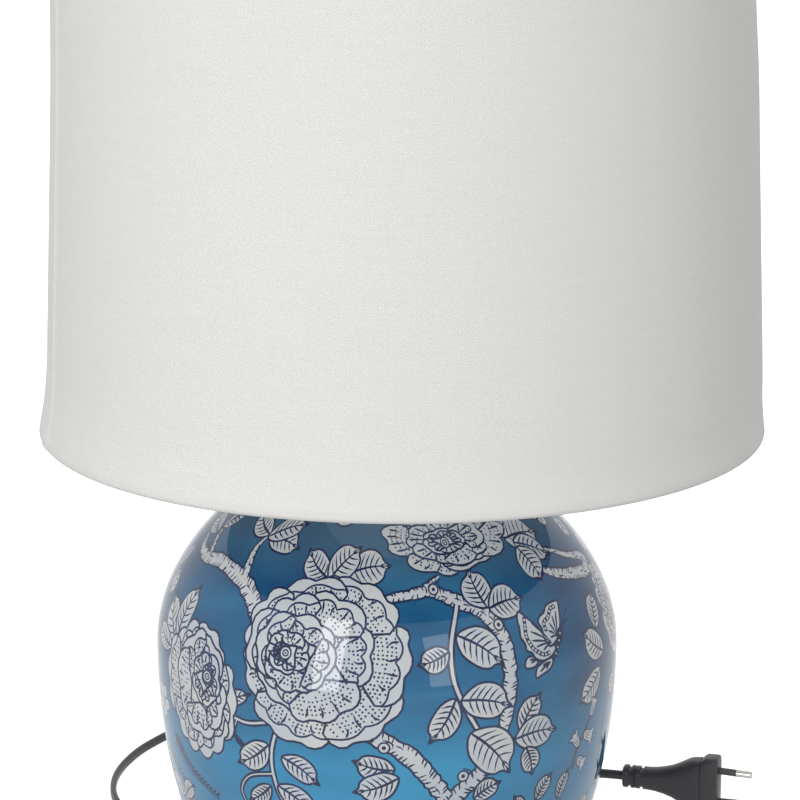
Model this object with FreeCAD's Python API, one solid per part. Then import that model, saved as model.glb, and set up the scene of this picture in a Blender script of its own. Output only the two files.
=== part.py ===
import FreeCAD, Part
import math
import os
from FreeCAD import Vector as V

# Ginger jar table lamp, in millimetres. The origin is on the table, under the stem, and +Z is up.
# The jar carries a threaded stem, the stem carries the lampholder, and the holder carries the shade.

# ---- driving dimensions: jar ----
jar_off_stem = -7.8        # the thrown jar's middle lies this far from the stem, along X
felt_t = 3.0               # felt ring under the foot
jar_h = 247.0              # foot to mouth
foot_r = 79.0
foot_h = 7.0               # upright part of the foot
foot_flare = (16.0, 7.0)   # how the wall leaves the foot: outwards, upwards
belly_r = 119.7
belly_z = 144.8            # above the foot
belly_below = 80.4         # how far the belly's roundness reaches down
belly_above = 56.4         # and up
shoulder_z = 240.0
neck_r = 50.0
mouth_r = 43.0
lip_round = 2.0
jar_wall = 7.0
foot_ring_w = 15.0         # the ring that the jar stands on
recess_h = 26.0            # the hollow inside that ring
floor_t = 8.0
foot_edge = 1.5

# ---- driving dimensions: stem and its fixings ----
fit_gap = 0.1              # between pieces that are pushed or screwed together
rod_r = 5.0                # M10 x 1 hollow rod
rod_bore_r = 3.4
rod_past_nut = 1.0
gasket_t = 1.5
gasket_r = 20.0
washer_t = 2.0
washer_r = 18.0
nut_flats = 17.0
nut_t = 5.0
cap_seal_t = 1.0
cap_t = 2.0
cap_over = 1.5             # how far the cap stands out past the neck
cap_rim_h = 6.0
cap_rim_wall = 1.2
cap_rim_gap = 1.0
lock_nut_flats = 14.0
lock_nut_t = 3.0
sleeve_h = 28.0
sleeve_r = 11.0
sleeve_bore_r = 8.4
sleeve_top_t = 2.0

# ---- driving dimensions: lampholder (heights above its base) ----
boss_r = 9.0
boss_h = 5.0
boss_bore_h = 8.0
holder_r = 19.0
holder_wall = 1.8
cone_top = 13.0
ledge_z = 15.0
ledge_w = 2.2
holder_split = 24.0
skirt_h = 6.0
seat_r = 23.5
seat_z = 29.0
seat_t = 2.0
holder_thread_r = 20.0
thread_depth = 0.6
thread_pitch = 3.0
holder_h = 58.0
holder_lip_t = 2.0
holder_mouth_r = 14.9
shell_bore_r = 16.5
insert_top = 27.0
screw_shell_r = 14.1
screw_shell_wall = 0.5
screw_shell_h = 28.0
ridge_depth = 0.45
ridge_pitch = 3.6
terminal_x = 10.0
terminal_head_r = 2.6
terminal_head_h = 2.0
terminal_r = 1.4
terminal_l = 6.0
grub_r = 1.5
grub_z = 4.0
contact_t = 0.5
contact_w = 5.0

# ---- driving dimensions: shade ----
turn_gap = 0.2             # between pieces that turn on each other, end to end
fitter_r = 24.5
fitter_bore_r = 21.0
fitter_t = 2.0
fitter_recess = 50.2       # the fitter lies this far above the lower rim
ring_r = 27.0
ring_h = 8.0
ring_bore_gap = 0.25
grip_count = 24
grip_r = 1.2
shade_h = 250.0
shade_rim_r = 185.0
flare_out = 3.4            # how far the rim stands out past the side above it
flare_h = 34.0
shade_taper = 12.0         # the top's radius is less than the rim's by this
fabric_t = 0.6
liner_t = 0.6
wire_r = 1.5
wrap_gap = 0.35            # between the fabric and the wire it is rolled over
hem_h = 12.0
arm_count = 3
arm_r = 1.75
arm_first = 90.0           # direction of the first arm, degrees
arm_level = 16.0           # level stretch beside the fitter
arm_bend_r = 12.0
arm_slot_gap = 0.3

# ---- driving dimensions: bulb, 60 mm across, on a 27 mm screw cap ----
bulb_lift = 30.0           # its contact above the holder's base
bulb_h = 108.0
bulb_r = 30.0
bulb_neck_r = 12.2
bulb_glass_t = 0.8
bulb_cap_r = 13.2
bulb_cap_wall = 0.5
bulb_cap_h = 24.0
bulb_button_r = 4.75
bulb_button_t = 1.0
insulator_h = 3.7
insulator_r = 11.5

# ---- driving dimensions: cord and what is on it ----
cord_d = 5.4
cord_gap = 0.05            # round the cord in a hole that grips it
exit_angle = 150.0         # the cord leaves the foot behind and to the left
exit_z = 11.5
exit_bend_r = 8.0
hole_r = 5.5
spot_r = 8.5
spot_depth = 2.0
relief_flange_r = 7.5
relief_flange_t = 2.0
relief_l = 26.0
relief_root_r = 6.0
relief_tip_r = 3.8
core_r = 0.9
core_x = 1.4

switch_at = (-64.0, 188.0)
switch_heading = -84.0
switch_l = 66.0
switch_w = 28.0
switch_h = 18.0
switch_split = 7.5
switch_wall = 2.0
switch_corner = 9.0
switch_grip = 4.0          # how far the cord goes in
rocker_l = 18.0
rocker_w = 11.0
rocker_gap = 0.5
rocker_pivot_z = 13.0
rocker_rise = 6.0
rocker_dip = 2.0
rocker_drop = 1.5
rocker_tilt = 10.0
rocker_pin_r = 1.2
rocker_pin_l = 1.5
rocker_room = 3.0          # the rocker's opening is longer than it by this
boss_side = 3.0
case_screw_x = 25.0
case_screw_r = 1.3
case_screw_head_r = 2.5
case_screw_head_t = 1.5
blade_l = 14.0
blade_t = 0.8
blade_w = 5.0
blade_x = 14.0

coil_at = (50.0, 148.0)
coil_r = 41.0
coil_gap = 0.5             # between one turn and the next
coil_turns = 5             # whole turns, besides the part between its two ends
coil_start = 160.0
coil_end = 50.0
coil_steps = 12            # pieces that the way in, and the way out, are drawn in
tie_t = 1.0
tie_w = 9.0
tie_gap = 0.4
tie_angle = 255.0
tie_tab = 12.0

plug_at = (128.1, 137.5)   # where the cord goes in
plug_heading = -18.0
plug_l = 56.0
plug_flange_l = 9.5
plug_half_h = 17.65
plug_half_t = 6.85
plug_waist_h = 6.5
plug_waist_t = 4.8
plug_shoulder_h = 14.8
plug_step_l = 5.5
plug_relief_l = 15.0
groove_starts = (3.0, 10.0)
groove_w = 2.2
groove_depth = 1.4
plug_socket_l = 8.0        # how far the cord goes in
pin_l = 19.0
pin_r = 2.0
pin_core_r = 1.5
pin_spread = 9.3           # from the plug's middle, at its face
pin_tip_spread = 8.75
pin_root_l = 9.0
sleeve_l = 10.0            # the insulated part of each pin, as thick as its bare part

# ---- heights that follow ----
foot_z = felt_t
recess_r = foot_r - foot_ring_w
recess_z = foot_z + recess_h
floor_top = recess_z + floor_t
mouth_z = foot_z + jar_h
cap_z = mouth_z + cap_seal_t
sleeve_z = cap_z + cap_t
holder_z = sleeve_z + sleeve_h
seat_top = holder_z + seat_z + seat_t
fitter_z = seat_top + turn_gap
rim_z = fitter_z - fitter_recess
shade_top_z = rim_z + shade_h
shade_low_r = shade_rim_r - flare_out
shade_top_r = shade_rim_r - shade_taper
washer_top = recess_z - gasket_t
nut_top = washer_top - washer_t
rod_low = nut_top - nut_t - rod_past_nut
rod_top = holder_z + boss_bore_h
cord_r = cord_d / 2
exit_dir = V(math.cos(math.radians(exit_angle)), math.sin(math.radians(exit_angle)), 0)


def keep(name, shape):
    """Write one sub-part, whole or as a group of solids."""
    for solid in shape.Solids:
        if not solid.isValid():
            print("not valid:", name)
    print("%-20s %d solid(s) %10.1f mm3" % (name, len(shape.Solids), shape.Volume))
    shape.exportStep("parts/%s.step" % name)


def group(shapes):
    return Part.makeCompound([solid for shape in shapes for solid in shape.Solids])


def cylinder(radius, low, high, x=0.0, y=0.0):
    return Part.makeCylinder(radius, high - low, V(x, y, low))


def washer(bore, radius, low, high, x=0.0):
    return cylinder(radius, low, high, x).cut(cylinder(bore, low, high, x))


def lines(points):
    """Straight edges in the RZ plane through points (r, z)."""
    corners = [V(r, 0, z) for r, z in points]
    return [Part.LineSegment(a, b).toShape() for a, b in zip(corners, corners[1:])]


def bezier(points):
    curve = Part.BezierCurve()
    curve.setPoles([V(r, 0, z) for r, z in points])
    return curve.toShape()


def arc(a, middle, b):
    return Part.Arc(V(a[0], 0, a[1]), V(middle[0], 0, middle[1]), V(b[0], 0, b[1])).toShape()


def turned(edges, x=0.0):
    """A solid of revolution about the upright axis at x, from a closed outline in the RZ plane."""
    face = Part.Face(Part.Wire(edges))
    solid = face.revolve(V(0, 0, 0), V(0, 0, 1), 360)
    solid.translate(V(x, 0, 0))
    return solid


def turned_points(points, x=0.0):
    return turned(lines(points + [points[0]]), x)


def hexagon(flats, bore, low, high):
    corner = flats / math.sqrt(3)
    ring = [V(corner * math.cos(math.radians(60 * i)), corner * math.sin(math.radians(60 * i)), low)
            for i in range(7)]
    return Part.Face(Part.makePolygon(ring)).extrude(V(0, 0, high - low)).cut(cylinder(bore, low, high))


def ridges(radius, depth, low, high, pitch):
    """Points up a ridged wall, from low to high: out to the radius, and in by the depth."""
    count = int((high - low) / pitch)
    step = (high - low) / count
    points = []
    for i in range(count):
        points.append((radius - depth, low + i * step))
        points.append((radius, low + (i + 0.5) * step))
    return points + [(radius - depth, high)]


def laid(shape, at, heading, z=0.0):
    """Move a shape drawn along X to its place on the table."""
    shape = shape.copy()
    shape.rotate(V(0, 0, 0), V(0, 0, 1), heading)
    shape.translate(V(at[0], at[1], z))
    return shape


def along(at, heading, distance, z):
    """The point at a distance along a heading."""
    angle = math.radians(heading)
    return V(at[0] + distance * math.cos(angle), at[1] + distance * math.sin(angle), z)


# ---- cord ----
def rounded_route(points, radii=None):
    """Straight runs through the points, joined by tangent arcs; the radii are as large as fit."""
    edges = []
    found = []
    start = points[0]
    for i in range(1, len(points) - 1):
        into = points[i] - points[i - 1]
        out = points[i + 1] - points[i]
        half_turn = into.getAngle(out) / 2
        radius = (radii or {}).get(i, 0.45 * min(into.Length, out.Length) / math.tan(half_turn))
        set_back = radius * math.tan(half_turn)
        into.normalize()
        out.normalize()
        a = points[i] - into * set_back
        b = points[i] + out * set_back
        inward = out - into
        inward.normalize()
        middle = points[i] + inward * (radius / math.cos(half_turn) - radius)
        edges.append(Part.LineSegment(start, a).toShape())
        edges.append(Part.Arc(a, middle, b).toShape())
        start = b
        found.append(radius)
    edges.append(Part.LineSegment(start, points[-1]).toShape())
    return Part.Wire(edges), found


def tube(wire, start, direction, radius):
    profile = Part.Wire([Part.Circle(start, direction, radius).toShape()])
    return wire.makePipeShell([profile], True, False)


def cord_tube(name, points, radii=None):
    wire, found = rounded_route(points, radii)
    solid = tube(wire, points[0], points[1] - points[0], cord_r)
    expected = math.pi * cord_r ** 2 * wire.Length
    print("%s: length %.1f, volume ratio %.4f" % (name, wire.Length, solid.Volume / expected))
    print("   radii:", ", ".join("%.0f" % r for r in found))
    keep(name, solid)
    return wire.Length


def arc_leaving(a, tangent, b):
    """The arc from a to b that leaves a along the tangent."""
    chord = b - a
    unit = V(chord.x, chord.y, chord.z)
    unit.normalize()
    side = tangent - unit * tangent.dot(unit)
    angle = tangent.getAngle(chord)
    side.normalize()
    return Part.Arc(a, (a + b) * 0.5 + side * (chord.Length / 2 * math.tan(angle / 2)), b).toShape()


def biarc(a, tangent_a, b, tangent_b):
    """Two arcs from a to b, tangent to both ends and to each other."""
    v = b - a
    t = tangent_a + tangent_b
    room = 2 * (1 - tangent_a.dot(tangent_b))
    reach = (-v.dot(t) + math.sqrt(v.dot(t) ** 2 + room * v.dot(v))) / room
    joint = (a + tangent_a * reach + b - tangent_b * reach) * 0.5
    second = arc_leaving(b, tangent_b * -1, joint)
    return [arc_leaving(a, tangent_a, joint), second]


def coil_nodes():
    """Points and directions round the coil: in on the lower layer, up, and out on the upper one."""
    pitch = cord_d + coil_gap
    whole = coil_start - coil_end + 360.0 * (coil_turns + 1)
    way_in = (whole - 180.0) / 2
    low = tie_t + tie_gap + cord_r
    angles_in = [way_in * i / coil_steps for i in range(coil_steps + 1)]
    nodes = []
    for turned_by in angles_in + [whole / 2] + [whole - a for a in reversed(angles_in)]:
        inward = min(turned_by, whole - turned_by)
        radius = coil_r - pitch * inward / 360.0
        climb = min(max(turned_by - way_in, 0.0), 180.0)
        z = low + pitch * (1 - math.cos(math.radians(climb))) / 2
        angle = math.radians(coil_start - turned_by)
        drift = 0.0
        if turned_by != whole / 2:
            drift = math.copysign(pitch / (2 * math.pi), turned_by - whole / 2)
        rise = pitch / 2 * math.sin(math.radians(climb))
        outward = V(math.cos(angle), math.sin(angle), 0)
        onward = V(math.sin(angle), -math.cos(angle), 0)
        tangent = onward * radius + outward * drift + V(0, 0, rise)
        tangent.normalize()
        nodes.append((V(coil_at[0], coil_at[1], z) + outward * radius, tangent))
    return nodes


def coil_wire():
    nodes = coil_nodes()
    first, first_dir = nodes[0]
    last, last_dir = nodes[-1]
    begin = first - first_dir * cord_d
    end = last + last_dir * cord_d
    edges = [Part.LineSegment(begin, first).toShape()]
    for (a, ta), (b, tb) in zip(nodes, nodes[1:]):
        edges.extend(biarc(a, ta, b, tb))
    edges.append(Part.LineSegment(last, end).toShape())
    return Part.Wire(Part.__sortEdges__(edges)), begin, first_dir, end, last_dir


def least_gap(wire):
    """The least gap between one turn of a wound cord and another, measured on points along it."""
    points = wire.discretize(Distance=2.0)
    step = wire.Length / (len(points) - 1)
    apart = int(3 * cord_d / step)
    least = min(a.distanceToPoint(b) for i, a in enumerate(points) for b in points[i + apart:])
    return least - cord_d


def make_cord():
    """The lead: held inside the lamp, then free on the table with a switch, a coil and the plug."""
    tip = exit_dir * relief_tip_distance() + V(0, 0, exit_z)
    top = V(0, 0, rod_top + 2.0)
    cord_tube("inner_cord", [top, V(0, 0, exit_z), tip], {1: exit_bend_r})
    cores = []
    head_z = holder_z + ledge_z - terminal_head_h / 2
    for side in (1, -1):
        route = [V(side * core_x, 0, rod_top + 2.0), V(side * core_x, 0, head_z),
                 V(side * (terminal_x - terminal_head_r), 0, head_z)]
        wire, _ = rounded_route(route)
        cores.append(tube(wire, route[0], V(0, 0, 1), core_r))
    keep("inner_cores", group(cores))

    lie = cord_r + cord_gap
    wire, begin, begin_dir, end, end_dir = coil_wire()
    turns = tube(wire, begin, begin_dir, cord_r)
    print("cord_coil: length %.1f, volume ratio %.4f, least gap to itself %.2f"
          % (wire.Length, turns.Volume / (math.pi * cord_r ** 2 * wire.Length), least_gap(wire)))
    keep("cord_coil", turns)

    half = switch_l / 2 - switch_grip
    enters = along(switch_at, switch_heading, -half, switch_split)
    before = along(switch_at, switch_heading, -half - 12.0, switch_split)
    leaves = along(switch_at, switch_heading, half, switch_split)
    after = along(switch_at, switch_heading, half + 11.0, switch_split)
    lead = [tip, tip + exit_dir * 18.0, V(-129, 78, 6.0), V(-147, 98, lie), V(-161, 122, lie),
            V(-169, 150, lie), V(-169, 182, lie), V(-160, 215, lie), V(-149, 236, lie), V(-135, 258.5, lie),
            V(-118.5, 269, lie), V(-99, 270, lie), V(-81.5, 261.5, lie), V(-70, 245, 4.0), before, enters]
    joins = begin - begin_dir * 16.0
    link = [leaves, after, V(-58.2, 133, 4.2), V(-51, 121.2, lie), V(-39.4, 113.7, lie),
            V(-25.7, 111.9, lie), V(-12.6, 116.1, lie), V(-2.6, 125.6, lie), joins, begin]
    tail_end = along(plug_at, plug_heading, plug_socket_l, plug_half_h)
    tail = [end, end + end_dir * 19.0, along(plug_at, plug_heading, -15.0, plug_half_h), tail_end]
    outside = cord_tube("cord_lead", lead) + cord_tube("cord_link", link) + cord_tube("cord_tail", tail)
    print("free cord, with its switch: %.0f mm" % (outside + wire.Length + 2 * half))
    make_tie()


def make_tie():
    """A strap round the coil's turns, with its end lapped over the top."""
    pitch = cord_d + coil_gap
    inner_r = min(math.hypot(p.x - coil_at[0], p.y - coil_at[1]) for p, _ in coil_nodes())
    low = tie_gap + tie_t
    reach_in = inner_r - cord_r - tie_gap
    reach_out = coil_r + cord_r + tie_gap
    top = low + cord_d + pitch + tie_gap
    outer = Part.makeBox(reach_out - reach_in + 2 * tie_t, tie_w, top + tie_t,
                         V(reach_in - tie_t, -tie_w / 2, 0))
    hollow = Part.makeBox(reach_out - reach_in, tie_w, top - tie_t, V(reach_in, -tie_w / 2, tie_t))
    corners = [e for e in outer.Edges if abs(e.tangentAt(e.FirstParameter).y) > 0.99]
    strap = outer.makeFillet(2 * tie_t, corners).cut(hollow)
    tab = Part.makeBox(tie_tab, tie_w, tie_t, V(reach_in + 2 * tie_t, -tie_w / 2, top + tie_t))
    keep("cord_tie", laid(strap.fuse(tab).removeSplitter(), coil_at, tie_angle))


# ---- jar ----
def jar_outline():
    """The thrown jar's outside and inside, from its foot to its mouth."""
    low = foot_z + foot_h
    belly = foot_z + belly_z
    shoulder = foot_z + shoulder_z
    outside = lines([(recess_r, foot_z), (foot_r - foot_edge, foot_z), (foot_r, foot_z + foot_edge),
                     (foot_r, low)])
    outside.append(bezier([(foot_r, low), (foot_r + foot_flare[0], low + foot_flare[1]),
                           (belly_r, belly - belly_below), (belly_r, belly)]))
    outside.append(bezier([(belly_r, belly), (belly_r, belly + belly_above),
                           (neck_r + lip_round, shoulder), (neck_r, shoulder)]))
    diagonal = lip_round * (1 - math.sqrt(0.5))
    lip_low = mouth_z - lip_round
    neck = lines([(neck_r, shoulder), (neck_r, lip_low)])
    neck.append(arc((neck_r, lip_low), (neck_r - diagonal, mouth_z - diagonal),
                    (neck_r - lip_round, mouth_z)))
    neck += lines([(neck_r - lip_round, mouth_z), (mouth_r + lip_round, mouth_z)])
    neck.append(arc((mouth_r + lip_round, mouth_z), (mouth_r + diagonal, mouth_z - diagonal),
                    (mouth_r, lip_low)))
    room_top = shoulder - jar_wall
    neck += lines([(mouth_r, lip_low), (mouth_r, room_top)])
    inner_r = belly_r - jar_wall
    inside = [bezier([(mouth_r, room_top), (mouth_r + lip_round, room_top),
                      (inner_r, belly + belly_above - jar_wall), (inner_r, belly)]),
              bezier([(inner_r, belly), (inner_r, belly - belly_below),
                      (foot_r + foot_flare[0] / 2, floor_top), (foot_r, floor_top)])]
    inside += lines([(foot_r, floor_top), (0, floor_top), (0, recess_z), (recess_r, recess_z),
                     (recess_r, foot_z)])
    return outside + neck + inside


def spot_distance():
    """From the stem to the flat that is ground on the foot where the cord comes out."""
    across = exit_dir.x * jar_off_stem
    to_foot = across + math.sqrt(across ** 2 + foot_r ** 2 - jar_off_stem ** 2)
    return to_foot - spot_depth


def relief_tip_distance():
    return spot_distance() + relief_flange_t + relief_l


def make_jar():
    jar = turned(jar_outline(), jar_off_stem)
    jar = jar.cut(cylinder(rod_r + fit_gap * 5, recess_z - 1, floor_top + 1))
    bore_from = exit_dir * (recess_r / 2) + V(0, 0, exit_z)
    jar = jar.cut(Part.makeCylinder(hole_r, foot_r, bore_from, exit_dir))
    spot = exit_dir * spot_distance() + V(0, 0, exit_z)
    jar = jar.cut(Part.makeCylinder(spot_r, belly_r, spot, exit_dir))
    keep("jar", jar)
    keep("foot_felt", washer(recess_r + foot_edge, foot_r - 2 * foot_edge, 0, felt_t, jar_off_stem))


def make_strain_relief():
    """Rubber bush in the foot's hole, with a tapered sleeve that guards the cord."""
    recess_wall = recess_r + exit_dir.x * jar_off_stem
    bush_l = spot_distance() - recess_wall + 2 * foot_edge
    outline = [(cord_r + cord_gap, -bush_l), (hole_r - fit_gap, -bush_l), (hole_r - fit_gap, 0),
               (relief_flange_r, 0), (relief_flange_r, relief_flange_t), (relief_root_r, relief_flange_t),
               (relief_tip_r, relief_flange_t + relief_l), (cord_r + cord_gap, relief_flange_t + relief_l)]
    bush = turned_points(outline)
    bush.rotate(V(0, 0, 0), V(0, 1, 0), 90)
    bush.rotate(V(0, 0, 0), V(0, 0, 1), exit_angle)
    bush.translate(exit_dir * spot_distance() + V(0, 0, exit_z))
    keep("strain_relief", bush)


# ---- stem ----
def make_stem():
    keep("threaded_rod", washer(rod_bore_r, rod_r, rod_low, rod_top))
    keep("floor_gasket", washer(rod_r + fit_gap, gasket_r, washer_top, recess_z))
    keep("floor_washer", washer(rod_r + fit_gap, washer_r, nut_top, washer_top))
    keep("stem_nut", hexagon(nut_flats, rod_r + fit_gap / 2, nut_top - nut_t, nut_top))
    keep("cap_seal", washer(mouth_r + lip_round, neck_r - lip_round, mouth_z, cap_z, jar_off_stem))
    rim_r = mouth_r - cap_rim_gap
    rim_in = rim_r - cap_rim_wall
    cap_r = neck_r + cap_over
    rim_low = cap_z - cap_rim_h
    cap = turned_points([(0, cap_z), (rim_in, cap_z), (rim_in, rim_low), (rim_r, rim_low), (rim_r, cap_z),
                         (cap_r, cap_z), (cap_r, cap_z + cap_t / 2), (cap_r - cap_t / 2, cap_z + cap_t),
                         (0, cap_z + cap_t)], jar_off_stem)
    keep("jar_cap", cap.cut(cylinder(rod_r + fit_gap, cap_z - 1, cap_z + cap_t + 1)))
    keep("lock_nut", hexagon(lock_nut_flats, rod_r + fit_gap / 2, sleeve_z, sleeve_z + lock_nut_t))
    top = sleeve_z + sleeve_h
    keep("neck_sleeve", turned_points([(sleeve_bore_r, sleeve_z), (sleeve_r, sleeve_z), (sleeve_r, top),
                                       (rod_r + fit_gap, top), (rod_r + fit_gap, top - sleeve_top_t),
                                       (sleeve_bore_r, top - sleeve_top_t)]))


# ---- lampholder ----
def raised(points):
    return [(r, z + holder_z) for r, z in points]


def make_holder():
    bore = rod_r + fit_gap / 2
    inner = holder_r - holder_wall
    cap = turned_points(raised([(bore, 0), (boss_r, 0), (boss_r, boss_h), (holder_r, cone_top),
                                (holder_r, holder_split), (inner, holder_split), (inner, ledge_z),
                                (inner - ledge_w, ledge_z), (boss_r, boss_bore_h + ledge_w / 2),
                                (boss_r, boss_bore_h), (bore, boss_bore_h)]))
    grub_hole = Part.makeCylinder(grub_r + fit_gap / 2, boss_r + 1, V(0, 0, holder_z + grub_z), V(0, -1, 0))
    keep("holder_cap", cap.cut(grub_hole))
    grub = Part.makeCylinder(grub_r, boss_r - rod_r - fit_gap, V(0, -rod_r - fit_gap, holder_z + grub_z),
                             V(0, -1, 0))
    keep("holder_grub_screw", grub)

    skirt_r = inner - fit_gap
    skirt_in = skirt_r - holder_wall
    thread = ridges(holder_thread_r, thread_depth, seat_z + seat_t, holder_h - holder_lip_t, thread_pitch)
    shell = [(skirt_in, holder_split - skirt_h), (skirt_r, holder_split - skirt_h), (skirt_r, holder_split),
             (holder_r, holder_split), (holder_r, seat_z), (seat_r, seat_z), (seat_r, seat_z + seat_t)]
    shell += thread
    shell += [(holder_thread_r - 2 * thread_depth, holder_h), (holder_mouth_r, holder_h),
              (holder_mouth_r, holder_h - holder_lip_t), (shell_bore_r, holder_h - holder_lip_t),
              (shell_bore_r, seat_z), (skirt_in, seat_z)]
    keep("holder_shell", turned_points(raised(shell)))

    neck = skirt_in - fit_gap
    base_top = holder_split - skirt_h - fit_gap
    insert = turned_points(raised([(0, ledge_z), (skirt_r, ledge_z), (skirt_r, base_top), (neck, base_top),
                                   (neck, insert_top), (0, insert_top)]))
    screws = []
    for side in (1, -1):
        x = side * terminal_x
        under = holder_z + ledge_z
        insert = insert.cut(cylinder(terminal_r + fit_gap / 2, under, under + terminal_l + 1, x))
        screws.append(cylinder(terminal_head_r, under - terminal_head_h, under, x)
                      .fuse(cylinder(terminal_r, under, under + terminal_l, x)))
    keep("socket_insert", insert)
    keep("terminal_screws", group(screws))

    outer = ridges(screw_shell_r, ridge_depth, insert_top, insert_top + screw_shell_h, ridge_pitch)
    inside = [(r - screw_shell_wall, z) for r, z in reversed(outer)]
    keep("socket_screw_shell", turned_points(raised(outer + inside)))

    contact_rise = bulb_lift - insert_top - contact_t - turn_gap
    reach = terminal_x / 2
    strip = [(-reach, 0), (0, 0), (reach, contact_rise), (reach, contact_rise + contact_t),
             (reach / 2, contact_rise / 2 + 2 * contact_t), (0, contact_t), (-reach, contact_t)]
    corners = [V(x - reach / 2, -contact_w / 2, z + holder_z + insert_top) for x, z in strip]
    keep("centre_contact", Part.Face(Part.makePolygon(corners + [corners[0]])).extrude(V(0, contact_w, 0)))


# ---- shade ----
def shade_side(shift):
    """The shade's side from its top to the end of its flare, moved inwards by a shift."""
    low_z = rim_z + flare_h
    end_z = rim_z + fabric_t + wire_r
    middle = (shade_low_r + (shade_rim_r - shade_low_r) * 0.3, (low_z + end_z) / 2)
    side = [(shade_top_r, shade_top_z - fabric_t - wire_r), (shade_low_r, low_z), middle,
            (shade_rim_r, end_z)]
    return [(r - shift, z) for r, z in side]


def side_at(z, shift):
    """The point of that side at a height."""
    side = shade_side(shift)
    for (r1, z1), (r2, z2) in zip(side, side[1:]):
        if z >= z2:
            return (r1 + (r2 - r1) * (z - z1) / (z2 - z1), z)
    return side[-1]


def wire_ring(radius, z):
    return Part.makeTorus(radius, wire_r, V(0, 0, z))


def make_shade():
    wrap = wire_r + wrap_gap
    top, knee, middle, end = shade_side(0)
    low_c = (end[0] - fabric_t - wrap, end[1])
    top_c = (top[0] - fabric_t - wrap, top[1])
    low_ring = wire_ring(*low_c)
    top_ring = wire_ring(*top_c)
    keep("shade_bottom_ring", low_ring)
    keep("shade_top_ring", top_ring)

    level_z = fitter_z + fitter_t - arm_r
    arms = []
    for i in range(arm_count):
        angle = math.radians(arm_first + 360.0 * i / arm_count)
        out = V(math.cos(angle), math.sin(angle), 0)
        route = [out * (fitter_r - fitter_t) + V(0, 0, level_z),
                 out * (fitter_r + arm_level) + V(0, 0, level_z),
                 out * low_c[0] + V(0, 0, low_c[1])]
        wire, _ = rounded_route(route, {1: arm_bend_r})
        arms.append((tube(wire, route[0], out, arm_r), tube(wire, route[0], out, arm_r + arm_slot_gap)))
    fitter = washer(fitter_bore_r, fitter_r, fitter_z, fitter_z + fitter_t)
    keep("fitter_ring", fitter)
    hub = cylinder(fitter_r, fitter_z - 2 * arm_r, fitter_z + 2 * arm_r)
    keep("spider_arms", group([arm.cut(low_ring).cut(hub) for arm, _ in arms]))

    outer = fabric_t + fit_gap
    inner = outer + liner_t
    liner_low = low_c[1] + wire_r + liner_t
    liner_top = top_c[1] - wire_r - liner_t
    liner = [side_at(liner_top, outer)] + shade_side(outer)[1:3] + [side_at(liner_low, outer)]
    back = [side_at(liner_top, inner)] + shade_side(inner)[1:3] + [side_at(liner_low, inner)]
    keep("shade_liner", turned_points(liner + back[::-1]))

    # The fabric is rolled over both rings and turned up, or down, inside the liner.
    inner = shade_side(fabric_t)
    roll = wrap + fabric_t
    flap = fabric_t + liner_t + 2 * fit_gap
    low_flap = side_at(end[1] + hem_h, flap)
    top_flap = side_at(top[1] - hem_h, flap)
    skin = lines([top, knee, middle, end])
    skin += [arc(end, (low_c[0], low_c[1] - roll), (low_c[0] - roll, low_c[1]))]
    skin += lines([(low_c[0] - roll, low_c[1]), (low_flap[0] - fabric_t, low_flap[1]), low_flap,
                   (low_c[0] - wrap, low_c[1])])
    skin += [arc((low_c[0] - wrap, low_c[1]), (low_c[0], low_c[1] - wrap), inner[3])]
    skin += lines(inner[::-1])
    skin += [arc(inner[0], (top_c[0], top_c[1] + wrap), (top_c[0] - wrap, top_c[1]))]
    skin += lines([(top_c[0] - wrap, top_c[1]), top_flap, (top_flap[0] - fabric_t, top_flap[1]),
                   (top_c[0] - roll, top_c[1])])
    skin += [arc((top_c[0] - roll, top_c[1]), (top_c[0], top_c[1] + roll), top)]
    fabric = turned(skin)
    for _, slot in arms:
        fabric = fabric.cut(slot)
    keep("shade_fabric", fabric)


def make_shade_ring():
    low = fitter_z + fitter_t + turn_gap
    ring = washer(holder_thread_r + ring_bore_gap, ring_r, low, low + ring_h)
    for i in range(grip_count):
        angle = 2 * math.pi * i / grip_count
        x = (ring_r + grip_r / 2) * math.cos(angle)
        y = (ring_r + grip_r / 2) * math.sin(angle)
        ring = ring.cut(cylinder(grip_r, low + seat_t, low + ring_h, x, y))
    keep("shade_ring", ring)


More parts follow.
